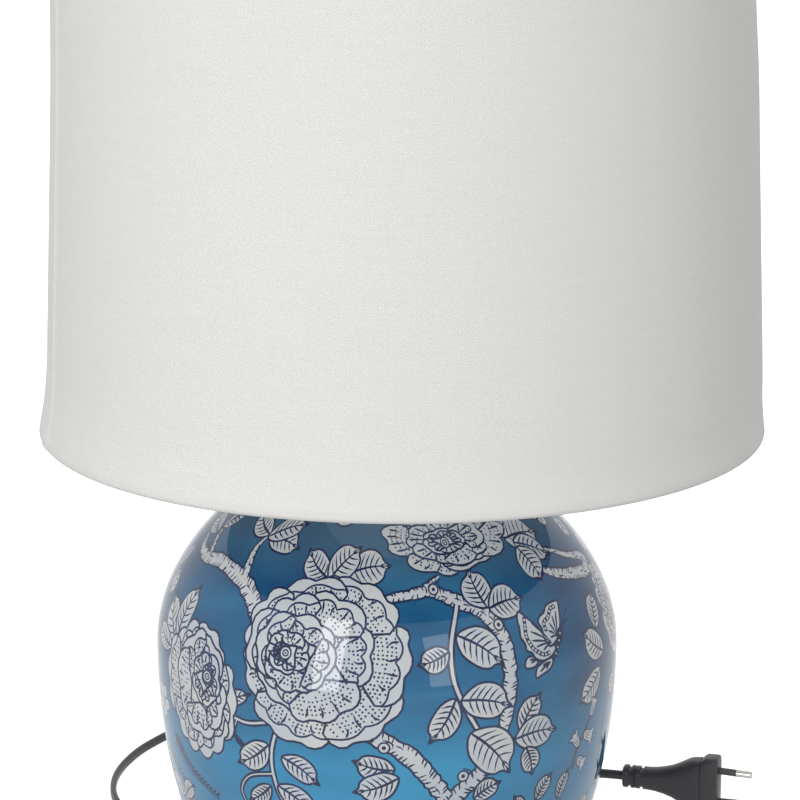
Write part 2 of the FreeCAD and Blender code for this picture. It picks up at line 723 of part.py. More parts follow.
# ---- bulb ----
def make_bulb():
    low = bulb_lift
    button_top = low + bulb_button_t
    cap_low = low + insulator_h
    cap_top = cap_low + bulb_cap_h
    keep("bulb_contact", turned_points(raised([(0, low), (bulb_button_r - bulb_button_t / 2, low),
                                               (bulb_button_r, button_top), (0, button_top)])))
    seal_top = cap_low + bulb_button_t
    keep("bulb_insulator", turned_points(raised([(0, button_top), (bulb_button_r, button_top),
                                                 (insulator_r, cap_low), (insulator_r, seal_top),
                                                 (0, seal_top)])))
    outer = ridges(bulb_cap_r, ridge_depth, cap_low, cap_top, ridge_pitch)
    inside = [(r - bulb_cap_wall, z) for r, z in reversed(outer)]
    keep("bulb_cap", turned_points(raised(outer + inside)))

    middle = holder_z + low + bulb_h - bulb_r
    seat = holder_z + cap_top
    inset = seat - 3 * bulb_cap_wall
    neck = bulb_neck_r
    slope = (middle - seat) / 2

    def skin(t):
        root = math.sqrt(0.5) * (bulb_r - t)
        side = [bezier([(neck - t, seat), (neck - t, seat + slope), (bulb_r - t, middle - slope),
                        (bulb_r - t, middle)])]
        return side + [arc((bulb_r - t, middle), (root, middle + root), (0, middle + bulb_r - t))]

    neck_in = neck - bulb_glass_t
    outline = lines([(neck_in, seat), (neck_in, inset), (neck, inset), (neck, seat)])
    outline += skin(0)
    outline += lines([(0, middle + bulb_r), (0, middle + bulb_r - bulb_glass_t)])
    outline += skin(bulb_glass_t)
    keep("bulb_glass", turned(Part.__sortEdges__(outline)))


# ---- switch ----
def rounded_box(length, width, low, high, corner):
    box = Part.makeBox(length, width, high - low, V(-length / 2, -width / 2, low))
    upright = [e for e in box.Edges if abs(e.tangentAt(e.FirstParameter).z) > 0.99]
    return box.makeFillet(corner, upright)


def make_switch():
    """In-line switch: two half shells, screwed together round the cord, and a rocker."""
    inner_l = switch_l - 2 * switch_wall
    inner_w = switch_w - 2 * switch_wall
    inner_h = switch_h - 2 * switch_wall
    inner_corner = switch_corner - switch_wall
    bore_from = V(-switch_l / 2 - 1, 0, switch_split)
    bore = Part.makeCylinder(cord_r + cord_gap, switch_l + 2, bore_from, V(1, 0, 0))
    case = rounded_box(switch_l, switch_w, 0, switch_h, switch_corner)
    rim = [e for e in case.Edges if e.BoundBox.ZMin > switch_h - 0.01]
    case = case.makeFillet(switch_wall, rim)
    room = rounded_box(inner_l, inner_w, switch_wall, switch_h - switch_wall, inner_corner)
    shell = case.cut(room)
    for middle in (switch_l / 2 - switch_grip / 2, switch_grip / 2 - switch_l / 2):
        corner = V(middle - switch_grip / 2, -switch_w / 6, switch_wall)
        shell = shell.fuse(Part.makeBox(switch_grip, switch_w / 3, inner_h, corner))
    window_l = rocker_l + rocker_room
    cheek_y = rocker_w / 2 + rocker_gap
    window = Part.makeBox(window_l, 2 * cheek_y, switch_h,
                          V(-window_l / 2, -cheek_y, rocker_pivot_z - rocker_rise))
    posts = []
    screws = []
    holes = []
    for side in (1, -1):
        x = side * case_screw_x
        y = side * switch_w / 4
        posts.append(cylinder(2 * case_screw_r, switch_wall, switch_h - switch_wall, x, y))
        holes.append(cylinder(case_screw_r + fit_gap / 2, -1, switch_split + switch_grip, x, y))
        holes.append(cylinder(case_screw_head_r + fit_gap, -1, case_screw_head_t + fit_gap, x, y))
        shank = cylinder(case_screw_r, case_screw_head_t, switch_split + switch_grip - 1, x, y)
        screws.append(shank.fuse(cylinder(case_screw_head_r, fit_gap, case_screw_head_t, x, y)))
    for post in posts:
        shell = shell.fuse(post)
    cheek_h = switch_h - switch_wall - rocker_pivot_z + boss_side
    for y in (cheek_y, -cheek_y - boss_side):
        corner = V(-boss_side, y, rocker_pivot_z - boss_side)
        shell = shell.fuse(Part.makeBox(2 * boss_side, boss_side, cheek_h, corner))
    shell = shell.cut(window).cut(bore)
    for hole in holes:
        shell = shell.cut(hole)
    pin_half = cheek_y + rocker_pin_l
    pivot = V(0, -pin_half, rocker_pivot_z)
    socket = Part.makeCylinder(rocker_pin_r + turn_gap, 2 * pin_half + turn_gap, pivot, V(0, 1, 0))
    shell = shell.cut(socket)
    big = Part.makeBox(2 * switch_l, 2 * switch_w, switch_split + 1, V(-switch_l, -switch_w, -1))
    keep("switch_base", laid(shell.common(big), switch_at, switch_heading))
    keep("switch_cover", laid(shell.cut(big), switch_at, switch_heading))
    keep("switch_screws", laid(group(screws), switch_at, switch_heading))

    low = rocker_pivot_z - rocker_drop
    high = rocker_pivot_z + rocker_rise
    half = rocker_l / 2
    side = [(-half, low), (half, low), (half, high), (0, high - rocker_dip), (-half, high)]
    corners = [V(x, -rocker_w / 2, z) for x, z in side]
    rocker = Part.Face(Part.makePolygon(corners + [corners[0]])).extrude(V(0, rocker_w, 0))
    pin_from = pivot + V(0, turn_gap / 2, 0)
    rocker = rocker.fuse(Part.makeCylinder(rocker_pin_r, 2 * pin_half - turn_gap, pin_from, V(0, 1, 0)))
    rocker.rotate(V(0, 0, rocker_pivot_z), V(0, 1, 0), rocker_tilt)
    keep("switch_rocker", laid(rocker, switch_at, switch_heading))

    blades = []
    for side in (1, -1):
        corner = V(side * blade_x - blade_l / 2, -side * blade_w - blade_w / 2, switch_wall)
        blades.append(Part.makeBox(blade_l, blade_w, blade_t, corner))
    keep("switch_contacts", laid(group(blades), switch_at, switch_heading))


# ---- plug ----
def plug_solid(edge_points, flare, depth_axis, depth):
    """One view of the plug, pushed through its full depth."""
    tail, head = edge_points

    def at(s, h):
        return V(s, 0, h) if depth_axis.y else V(s, h, 0)

    edges = []
    for side in (1, -1):
        for run in (tail, head):
            points = [at(s, side * h) for s, h in run]
            edges += [Part.LineSegment(a, b).toShape() for a, b in zip(points, points[1:])]
        curve = Part.BezierCurve()
        curve.setPoles([at(s, side * h) for s, h in flare])
        edges.append(curve.toShape())
    for s, h in (tail[0], head[-1]):
        edges.append(Part.LineSegment(at(s, h), at(s, -h)).toShape())
    face = Part.Face(Part.Wire(Part.__sortEdges__(edges)))
    face.translate(depth_axis * -depth)
    return face.extrude(depth_axis * (2 * depth))


def make_plug():
    """Moulded two-pin plug, standing on the edge of its flange."""
    shoulder = plug_l - plug_flange_l - plug_step_l
    tail = [(0, plug_waist_h)]
    for start in groove_starts:
        bottom = plug_waist_h - groove_depth
        tail += [(start, plug_waist_h), (start, bottom), (start + groove_w, bottom),
                 (start + groove_w, plug_waist_h)]
    tail.append((plug_relief_l, plug_waist_h))
    bend = (shoulder - plug_relief_l) / 2
    flare = [(plug_relief_l, plug_waist_h), (plug_relief_l + bend, plug_waist_h),
             (shoulder, plug_shoulder_h)]
    head = [(shoulder, plug_shoulder_h), (shoulder + plug_step_l, plug_half_h), (plug_l, plug_half_h)]
    tall = plug_solid((tail, head), flare, V(0, 1, 0), plug_half_t)

    thin_tail = [(0, plug_waist_t), (plug_relief_l, plug_waist_t)]
    thin_flare = [(plug_relief_l, plug_waist_t), (plug_relief_l + bend, plug_waist_t),
                  (shoulder, plug_half_t)]
    thin_head = [(shoulder, plug_half_t), (plug_l, plug_half_t)]
    wide = plug_solid((thin_tail, thin_head), thin_flare, V(0, 0, 1), plug_half_h)
    body = tall.common(wide)
    body = body.cut(Part.makeCylinder(cord_r + cord_gap, plug_socket_l, V(0, 0, 0), V(1, 0, 0)))

    pins = []
    sleeves = []
    lean = math.atan2(pin_spread - pin_tip_spread, pin_l)
    for side in (1, -1):
        direction = V(math.cos(lean), 0, -side * math.sin(lean))
        face = V(plug_l, 0, side * pin_spread)
        root = face - direction * pin_root_l
        body = body.cut(Part.makeCylinder(pin_core_r + cord_gap, pin_root_l + 1, root, direction))
        core = Part.makeCylinder(pin_core_r, pin_root_l + sleeve_l, root, direction)
        bare = Part.makeCylinder(pin_r, pin_l - sleeve_l, face + direction * sleeve_l, direction)
        tip = [e for e in bare.Edges if e.Closed and abs(e.CenterOfMass.x - plug_l - pin_l) < 0.5]
        pins.append(core.fuse(bare.makeFillet(pin_r / 2, tip)))
        gap = cord_gap
        sleeve = Part.makeCylinder(pin_r, sleeve_l - 2 * gap, face + direction * gap, direction)
        sleeves.append(sleeve.cut(Part.makeCylinder(pin_core_r + gap / 2, sleeve_l, face, direction)))
    for name, shape in (("plug_body", body), ("plug_pins", group(pins)), ("pin_sleeves", group(sleeves))):
        keep(name, laid(shape, plug_at, plug_heading, plug_half_h))


os.makedirs("parts", exist_ok=True)
make_jar()
make_strain_relief()
make_stem()
make_holder()
make_shade()
make_shade_ring()
make_bulb()
make_cord()
make_switch()
make_plug()
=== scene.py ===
import random
from math import atan2, copysign, cos, degrees, hypot, pi, radians, sin

import bmesh
import bpy
import numpy as np
from mathutils import Matrix, Vector
from mathutils.geometry import delaunay_2d_cdt, interpolate_bezier


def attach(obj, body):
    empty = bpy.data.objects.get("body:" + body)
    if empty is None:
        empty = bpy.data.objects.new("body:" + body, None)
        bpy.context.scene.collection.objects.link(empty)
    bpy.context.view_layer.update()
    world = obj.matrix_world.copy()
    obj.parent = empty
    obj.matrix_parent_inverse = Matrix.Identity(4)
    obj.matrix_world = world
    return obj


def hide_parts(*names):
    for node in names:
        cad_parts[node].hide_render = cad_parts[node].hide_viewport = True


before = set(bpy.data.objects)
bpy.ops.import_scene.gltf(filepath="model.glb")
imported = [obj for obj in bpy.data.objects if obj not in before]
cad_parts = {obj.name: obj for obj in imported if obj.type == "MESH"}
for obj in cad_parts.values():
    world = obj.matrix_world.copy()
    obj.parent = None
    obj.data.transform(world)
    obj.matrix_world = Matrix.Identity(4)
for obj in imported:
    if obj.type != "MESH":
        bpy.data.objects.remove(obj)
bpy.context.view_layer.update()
scene = bpy.context.scene
scene.view_settings.view_transform = "Standard"


# ---- the studio ----
# A pale sweep and a bare sky under soft lamps: a large one up on the left, and weaker ones on the right,
# above and behind.
class Socket:
    """An output of a node, with arithmetic that adds Math nodes."""

    def __init__(self, nodes, output):
        self.nodes = nodes
        self.output = output

    def math(self, operation, *inputs):
        return self.nodes.node("ShaderNodeMath", *inputs, settings={"operation": operation})

    def __add__(self, other):
        return self.math("ADD", self, other)

    def __sub__(self, other):
        return self.math("SUBTRACT", self, other)

    def __rsub__(self, other):
        return self.math("SUBTRACT", other, self)

    def __mul__(self, other):
        return self.math("MULTIPLY", self, other)

    def at_least(self, other):
        return self.math("MAXIMUM", self, other)

    def sine(self):
        return self.math("SINE", self)


class Nodes:
    """A node tree, and short ways to add to it."""

    def __init__(self, tree):
        self.tree = tree

    def node(self, kind, *inputs, output=0, settings=None, **named):
        new = self.tree.nodes.new(kind)
        for key, value in (settings or {}).items():
            setattr(new, key, value)
        for place, value in [*enumerate(inputs), *named.items()]:
            self.link(new.inputs[place], value)
        return Socket(self, new.outputs[output])

    def link(self, socket, value):
        if isinstance(value, Socket):
            self.tree.links.new(value.output, socket)
        elif hasattr(value, "__len__") and len(value) == 3 and socket.type == "RGBA":
            socket.default_value = (*value, 1)
        else:
            socket.default_value = value

    def ray(self, kind):
        """1 for rays of that kind, and 0 for others."""
        return self.node("ShaderNodeLightPath", output=f"Is {kind} Ray")


class Finish(Nodes):
    """A material, and the Principled shader that its nodes feed."""

    def __init__(self, name, color, roughness, **plain):
        self.material = bpy.data.materials.new(name)
        self.material.use_nodes = True
        super().__init__(self.material.node_tree)
        self.shader = self.tree.nodes["Principled BSDF"]
        self.set("Base Color", color)
        self.set("Roughness", roughness)
        for socket, value in plain.items():
            self.set(socket.replace("_", " "), value)

    def set(self, name, value):
        self.link(self.shader.inputs[name], value)

    def place(self):
        return self.node("ShaderNodeTexCoord", output="Object")

    def axes(self):
        place = self.place()
        return [self.node("ShaderNodeSeparateXYZ", place, output=i) for i in range(3)]

    def noise(self, scale, detail=3, stretch=None):
        place = self.place()
        if stretch:
            place = self.node("ShaderNodeMapping", place, Scale=stretch)
        return self.node("ShaderNodeTexNoise", place, Scale=scale, Detail=detail)

    def mix(self, amount, a, b):
        new = self.tree.nodes.new("ShaderNodeMix")
        new.data_type = "RGBA"
        for index, value in ((0, amount), (6, a), (7, b)):
            self.link(new.inputs[index], value)
        return Socket(self, new.outputs[2])

    def ramp(self, amount, low, high):
        """0 below low, 1 above high, and even between."""
        return self.node("ShaderNodeMapRange", amount, low, high, 0.0, 1.0)

    def bump(self, height, distance, strength):
        self.set("Normal", self.node("ShaderNodeBump", Height=height, Distance=distance, Strength=strength))


def srgb(red, green, blue):
    """A colour as it looks on a screen, out of 255, as the shader wants it."""
    def straight(c):
        c /= 255
        return c / 12.92 if c <= 0.04045 else ((c + 0.055) / 1.055) ** 2.4
    return (straight(red), straight(green), straight(blue))


def mottled(name, roughness, dark, pale, scale, detail=3, rougher=0.0, relief=None, stretch=None,
            spread=None, **plain):
    """A finish mottled between two colours; rougher and relief say how its polish and surface follow."""
    finish = Finish(name, srgb(*dark), roughness, **plain)
    spots = finish.noise(scale, detail, stretch)
    if spread:
        spots = finish.ramp(spots, *spread)
    finish.set("Base Color", finish.mix(spots, srgb(*dark), srgb(*pale)))
    if rougher:
        finish.set("Roughness", spots * rougher + roughness)
    if relief:
        finish.bump(spots, *relief)
    return finish


def soft_plastic(name, dark, pale):
    """Soft black plastic with faint flow and handling marks."""
    finish = mottled(name, 0.3, dark, pale, 120, 4, rougher=0.2)
    finish.bump(finish.noise(700, 2), 0.0001, 0.3)
    return finish


def new_object(name, mesh):
    made = bpy.data.objects.new(name, mesh)
    scene.collection.objects.link(made)
    return made


def drawn_out(bm, edges):
    """Extrude edges, and give the new vertices and the new edges."""
    made = bmesh.ops.extrude_edge_only(bm, edges=edges)["geom"]
    return ([g for g in made if isinstance(g, bmesh.types.BMVert)],
            [g for g in made if isinstance(g, bmesh.types.BMEdge)])


def mesh_object(name, bm, finishes, closed=True):
    """Turn a bmesh into an object with these finishes."""
    mesh = bpy.data.meshes.new(name)
    if closed:
        bmesh.ops.recalc_face_normals(bm, faces=bm.faces)
    for face in bm.faces:
        face.smooth = True
    bm.to_mesh(mesh)
    bm.free()
    mesh.set_sharp_from_angle(angle=radians(40))
    for finish in finishes:
        mesh.materials.append(finish.material)
    return new_object(name, mesh)


world = bpy.data.worlds.new("studio")
scene.world = world
world.use_nodes = True
sky = Nodes(world.node_tree)
background = sky.tree.nodes["Background"]
background.inputs["Color"].default_value = (1, 1, 1, 1)
seen = sky.ray("Camera").at_least(sky.ray("Transmission"))
sky.link(background.inputs["Strength"], seen * 0.45 + 0.55 + sky.ray("Glossy") * 0.35)

floor_finish = Finish("pale_floor", (0.5, 0.5, 0.5), 1.0)
shown = (floor_finish.ray("Camera") * 0.85).at_least(floor_finish.ray("Glossy") * 0.6)
shown = shown.at_least(floor_finish.ray("Transmission") * 0.85)
glow = floor_finish.node("ShaderNodeEmission", (1.0, 1.0, 1.0), shown)
lit = Socket(floor_finish, floor_finish.shader.outputs[0])
floor_finish.link(floor_finish.tree.nodes["Material Output"].inputs["Surface"],
                  floor_finish.node("ShaderNodeAddShader", lit, glow))
bm = bmesh.new()
bmesh.ops.create_grid(bm, x_segments=1, y_segments=1, size=6.0)
floor = mesh_object("floor", bm, [floor_finish], closed=False)


def soft_lamp(name, place, target, width, height, power, mirrored=True):
    lamp = bpy.data.lights.new(name, "AREA")
    lamp.shape = "RECTANGLE"
    lamp.size = width
    lamp.size_y = height
    lamp.energy = power
    holder = new_object(name, lamp)
    holder.location = place
    holder.rotation_euler = (Vector(target) - Vector(place)).to_track_quat("-Z", "Y").to_euler()
    holder.visible_glossy = mirrored


soft_lamp("key", (-1.21, -2.19, 1.0), (0, 0, 0.25), 0.62, 2.4, 28)
soft_lamp("fill", (1.15, -2.3, 0.95), (0, 0, 0.25), 0.6, 1.6, 7)
soft_lamp("top", (-0.2, -0.5, 2.6), (0, 0, 0.2), 1.6, 1.6, 10, mirrored=False)
soft_lamp("back", (0, 2.5, 1.1), (0, 0, 0.25), 0.9, 1.6, 16, mirrored=False)

lens = bpy.data.cameras.new("photograph")
lens.sensor_width = 36
lens.lens = 135.63
viewer = new_object("photograph", lens)
viewer.location = (-0.001, -1.5, 0.6449)
looking_down = 13.864
viewer.rotation_euler = (radians(90 - looking_down), 0, 0)
scene.camera = viewer


# ---- jar ----
# Thrown stoneware under a clear gloss glaze. The white body shows where the flowers are; a blue wash is laid
# round them by brush, and outlines, veins and dots are drawn in dark blue. Lengths here are in millimetres.
jar_x = -7.8
belly_r = 119.7
belly_z = 147.8
skin_out = 0.15
skin_in = 0.35
skin_low = 23.0
skin_high = 240.0
skin_seam = -89.2
wash, white, line = 0, 1, 2
line_w = 1.2
band_line_w = 1.2
band_white_w = 2.4
curve_low = interpolate_bezier((79, 0, 10), (95, 0, 17), (belly_r, 0, 67.4), (belly_r, 0, belly_z), 160)
curve_high = interpolate_bezier((belly_r, 0, belly_z), (belly_r, 0, 204.2), (52, 0, 243), (50, 0, 243), 160)
wall = np.array([(p.x, p.z) for p in curve_low + curve_high[1:]])
climb = np.concatenate([[0], np.cumsum(np.hypot(*np.diff(wall, axis=0).T))])
painting = []


def spot(turn, height):
    """Where a point of the jar, degrees round from the front and so high, lies on the flat drawing."""
    return np.array([belly_r * radians(turn), np.interp(height, wall[:, 1], climb)])


def near(centre, points):
    """Points drawn in millimetres round a centre, spread so that the shoulder doesn't narrow them."""
    points = np.asarray(points, float)
    up = centre[1] + points[:, 1]
    across = centre[0] + points[:, 0] * belly_r / np.interp(up, climb, wall[:, 0])
    return np.column_stack([across, up])


def flowing(points, closed=False, steps=5):
    """A smooth line through the points."""
    p = np.asarray(points, float)
    if closed:
        p = np.vstack([p[-1:], p, p[:2]])
    else:
        p = np.vstack([2 * p[:1] - p[1:2], p, 2 * p[-1:] - p[-2:-1]])
    t = np.linspace(0, 1, steps, endpoint=False)[:, None]
    runs = []
    for a, b, c, d in zip(p, p[1:], p[2:], p[3:]):
        runs.append(0.5 * (2 * b + (c - a) * t + (2 * a - 5 * b + 4 * c - d) * t ** 2
                           + (3 * b - a - 3 * c + d) * t ** 3))
    if not closed:
        runs.append(p[-2:-1])
    return np.vstack(runs)


def lengths_along(way):
    """How far along a line each of its points is."""
    return np.concatenate([[0], np.cumsum(np.linalg.norm(np.diff(way, axis=0), axis=1))])


def sideways(points, closed):
    """The unit normal at each point of a line, to the left of its way."""
    if closed:
        way = np.roll(points, -1, axis=0) - np.roll(points, 1, axis=0)
    else:
        way = np.gradient(points, axis=0)
    way = way / np.maximum(np.linalg.norm(way, axis=1, keepdims=True), 1e-9)
    return np.column_stack([-way[:, 1], way[:, 0]])


def grown(loop, by):
    """A closed loop moved outwards."""
    x, y = loop.T
    turns = np.sign(np.sum(x * np.roll(y, -1) - y * np.roll(x, -1)))
    return loop - sideways(loop, True) * by * turns


def ribbon(way, widths):
    side = sideways(way, False) * (np.asarray(widths) / 2)[:, None]
    return np.vstack([way + side, (way - side)[::-1]])


def lay(loop, color):
    """Add a shape to the painting, over those before it."""
    painting.append((loop, color))


def patch(loop, edge=line_w):
    """A white shape with a drawn outline."""
    lay(grown(loop, edge / 2), line)
    lay(grown(loop, -edge / 2), white)


def brush(points, width=0.8, steps=4, even=False):
    """One stroke of the pointed brush: full at its start, and fine at its end."""
    way = flowing(points, steps=steps)
    along = np.linspace(0, 1, len(way))
    press = np.ones(len(way)) if even else np.minimum(1, 0.5 + 4 * along) * (1 - 0.8 * along ** 2)
    lay(ribbon(way, width * press), line)


def dot(place, radius=0.55, color=line, sides=5):
    angles = np.arange(sides) * 2 * pi / sides
    lay(place + radius * np.column_stack([np.cos(angles), np.sin(angles)]), color)


def leaf(base, tip, fullness=0.5, bend=0.06, veins=6):
    """A leaf with a nicked, pointed tip, a midrib and side veins."""
    a, b = spot(*base), spot(*tip)
    axis = b - a
    side = np.array([-axis[1], axis[0]])

    def at(t, out):
        return a + axis * t + side * (out * fullness / 2 + bend * sin(pi * t))

    shape = ((0.0, 0.0), (0.07, 0.42), (0.24, 0.86), (0.45, 1.0), (0.66, 0.92), (0.8, 0.62), (0.835, 0.36),
             (0.9, 0.15), (1.0, 0.0))
    rim = [at(t, h) for t, h in shape] + [at(t, -h) for t, h in shape[-2:0:-1]]
    patch(flowing(rim, True, 2))
    brush([at(t, 0) for t in (0.0, 0.3, 0.6, 0.94)], 1.5)
    lay(ribbon(np.array([at(t, 0) for t in (0.86, 0.93, 1.0)]), [0.6, 1.3, 0.3]), line)
    ts, hs = np.array(shape).T
    for i in range(veins):
        start = 0.14 + 0.6 * i / (veins - 1)
        end = start + 0.15
        reach = 0.82 * np.interp(end, ts, hs)
        for turned in (1, -1):
            brush([at(start, 0), at(start + 0.06, turned * reach * 0.5), at(end, turned * reach)], 1.25, 1)


def tree(about, limbs, bark=True, seed=1):
    """Branches that join: outlines first, then the white of them all, then the marks of the bark."""
    chance = random.Random(seed)
    vary = chance.uniform
    drawn = []
    for points, widths in limbs:
        way = flowing([spot(turn + about, height) for turn, height in points], steps=8)
        thick = np.interp(np.linspace(0, 1, len(way)), np.linspace(0, 1, len(widths)), widths)
        if bark:
            thick *= [vary(0.88, 1.14) for _ in way]
        drawn.append((way, thick))
    for way, widths in drawn:
        lay(ribbon(way, widths + line_w), line)
    for way, widths in drawn:
        lay(ribbon(way, widths - line_w), white)
    if not bark:
        return
    for way, widths in drawn:
        side = sideways(way, False)
        onward = np.column_stack([side[:, 1], -side[:, 0]])
        run = lengths_along(way)
        for hand in (1, -1):
            place = vary(1, 3)
            while place < run[-1] - 1:
                i = int(np.searchsorted(run, place))
                depth = widths[i] * vary(0.2, 0.52)
                edge = way[i] + side[i] * hand * widths[i] / 2
                lean = onward[i] * vary(0.6, 2.2)
                brush([edge, edge - side[i] * hand * depth + lean], vary(0.9, 1.5), 2)
                place += vary(2.0, 4.4)
        for _ in range(int(run[-1] / 14)):
            i = chance.randrange(3, len(way) - 3)
            middle = way[i] + side[i] * widths[i] * vary(-0.18, 0.18)
            brush([middle - onward[i] * 2.2, middle + side[i] * 0.4, middle + onward[i] * 2.2], 0.9, 2)


def peony(turn, height, half_w, half_h, eye, rings, seed, open_lips=0.75):
    """An open peony: rings of scalloped petals round an eye to one side. Most lips are turned over."""
    chance = random.Random(seed)
    vary = chance.uniform
    centre = spot(turn, height)
    eye = np.array(eye, float)
    for share, count in rings:
        middle = eye * (1 - share) * 1.25
        first = vary(0, 6.28)
        turns = np.linspace(0, 2 * pi, 28, endpoint=False)
        bed = np.column_stack([half_w * np.cos(turns), half_h * np.sin(turns)]) * share * 0.72
        lay(near(centre, middle + bed), white)
        reach = share * (half_w + half_h) / 2
        for petal in range(count):
            facing = first + 2 * pi * (petal + vary(-0.17, 0.17)) / count
            span = pi / count * vary(1.2, 1.42)
            size = share * vary(0.88, 1.08)
            lobes = max(2, round(2 * span * reach / 17))
            shift = vary(-0.7, 0.7)
            cusps = vary(3.4, 5.6)
            lip_depth = min(vary(3.4, 6.2) / reach, 0.3) if chance.random() < open_lips else 0.0

            def at(u, out):
                angle = facing + span * u
                return middle + size * out * np.array([half_w * cos(angle), half_h * sin(angle)])

            def lip(u):
                lobe = abs(sin(pi * lobes * (u + 1) / 2 + shift * (1 - u * u))) ** 0.75
                return 1 - 0.13 * u ** 4 + min(3.4 / reach, 0.14) * (lobe - 0.6)

            def fold(u):
                cusp = 1 - abs(sin(cusps * u + shift)) ** 0.8
                return 0.98 - 0.1 * u * u - lip_depth * (1 - u * u) * (0.55 + 0.8 * cusp)

            rim = [at(u, lip(u)) for u in np.linspace(-1, 1, 5 * lobes + 1)]
            rim += [at(0.62, 0.5), at(0, 0.36), at(-0.62, 0.5)]
            patch(near(centre, rim))
            if lip_depth:
                brush(near(centre, [at(u, fold(u)) for u in np.linspace(-0.94, 0.94, 19)]), 1.05, 1, True)
            row = 0
            step = 2.15 / (reach * size / share)
            for out in np.arange(0.5, 0.97, step):
                row += 1
                along = 2.2 / (reach * out * span)
                for u in np.arange(-0.86 + along * 0.5 * (row % 2), 0.88, along):
                    if out < fold(u) - 1.3 / reach and chance.random() < 0.86:
                        aside = vary(-0.12, 0.12) * along
                        place = at(u + aside, out + vary(-0.12, 0.12) * step)
                        dot(near(centre, [place])[0], vary(0.54, 0.74))
            for u in (-0.55, -0.18, 0.2, 0.56):
                start = fold(u) - 0.02
                inner = start - min(vary(4, 8) / reach, 0.45)
                halfway = at(u * 0.96 + vary(-0.06, 0.06), (start + inner) / 2)
                brush(near(centre, [at(u, start), halfway, at(u * 0.9, inner)]), 1.3, 2)
    heart = near(centre, [eye])[0]
    for radius, color in ((3.6, line), (2.7, white), (1.9, line), (1.1, white), (0.5, line)):
        dot(heart, radius, color, 14)


def bell(base, tip):
    """A small hanging bell with a flared mouth, stripes and two stamens."""
    a, b = spot(*base), spot(*tip)
    axis = b - a
    side = np.array([-axis[1], axis[0]])
    half = [(0, 0), (0.12, 0.2), (0.45, 0.27), (0.7, 0.26), (0.92, 0.46), (0.97, 0.3), (0.88, 0.16), (1, 0)]
    rim = half + [(t, -h) for t, h in half[-2:0:-1]]
    patch(flowing([a + axis * t + side * h for t, h in rim], True, 2), 0.8)
    for h in (-0.14, 0, 0.14):
        stripe = ((0.14, h * 0.5), (0.5, h), (0.74, h))
        brush([a + axis * t + side * out for t, out in stripe], 0.6, 2)
    for h in (-0.22, 0.2):
        brush([a + axis * 0.95 + side * h * 0.3, a + axis * 1.35 + side * h], 0.6, 2)


def sprig(about, points, reach=4.6, gap=2.9):
    """A sprig drawn only in dark blue: a stalk with pairs of slender leaflets that point along it."""
    way = flowing([spot(turn + about, height) for turn, height in points], steps=6)
    run = lengths_along(way)
    lay(ribbon(way, np.linspace(1.3, 0.6, len(way))), line)
    side = sideways(way, False)
    for place in np.arange(1.5, run[-1], gap):
        foot = np.array([np.interp(place, run, way[:, 0]), np.interp(place, run, way[:, 1])])
        out = side[int(np.searchsorted(run, place))]
        onward = np.array([out[1], -out[0]])
        size = reach * (1 - 0.45 * place / run[-1])
        for hand in (1, -1):
            tip = foot + out * hand * size * 0.75 + onward * size
            brush([foot, (foot + tip) / 2 + out * hand * 0.5, tip], 1.5, 2)


def knot(turn, height, size=2.4):
    """The mark of a lost twig: a raised ring with a dark middle."""
    centre = spot(turn, height)
    for radius, color, sides in ((size + 0.9, line, 12), (size, white, 12), (size * 0.45, line, 8)):
        dot(centre, radius, color, sides)
    brush([centre + (size * x, size * y) for x, y in ((-0.2, 1.7), (1.5, 1.1), (1.9, -0.4))], 0.9, 2)


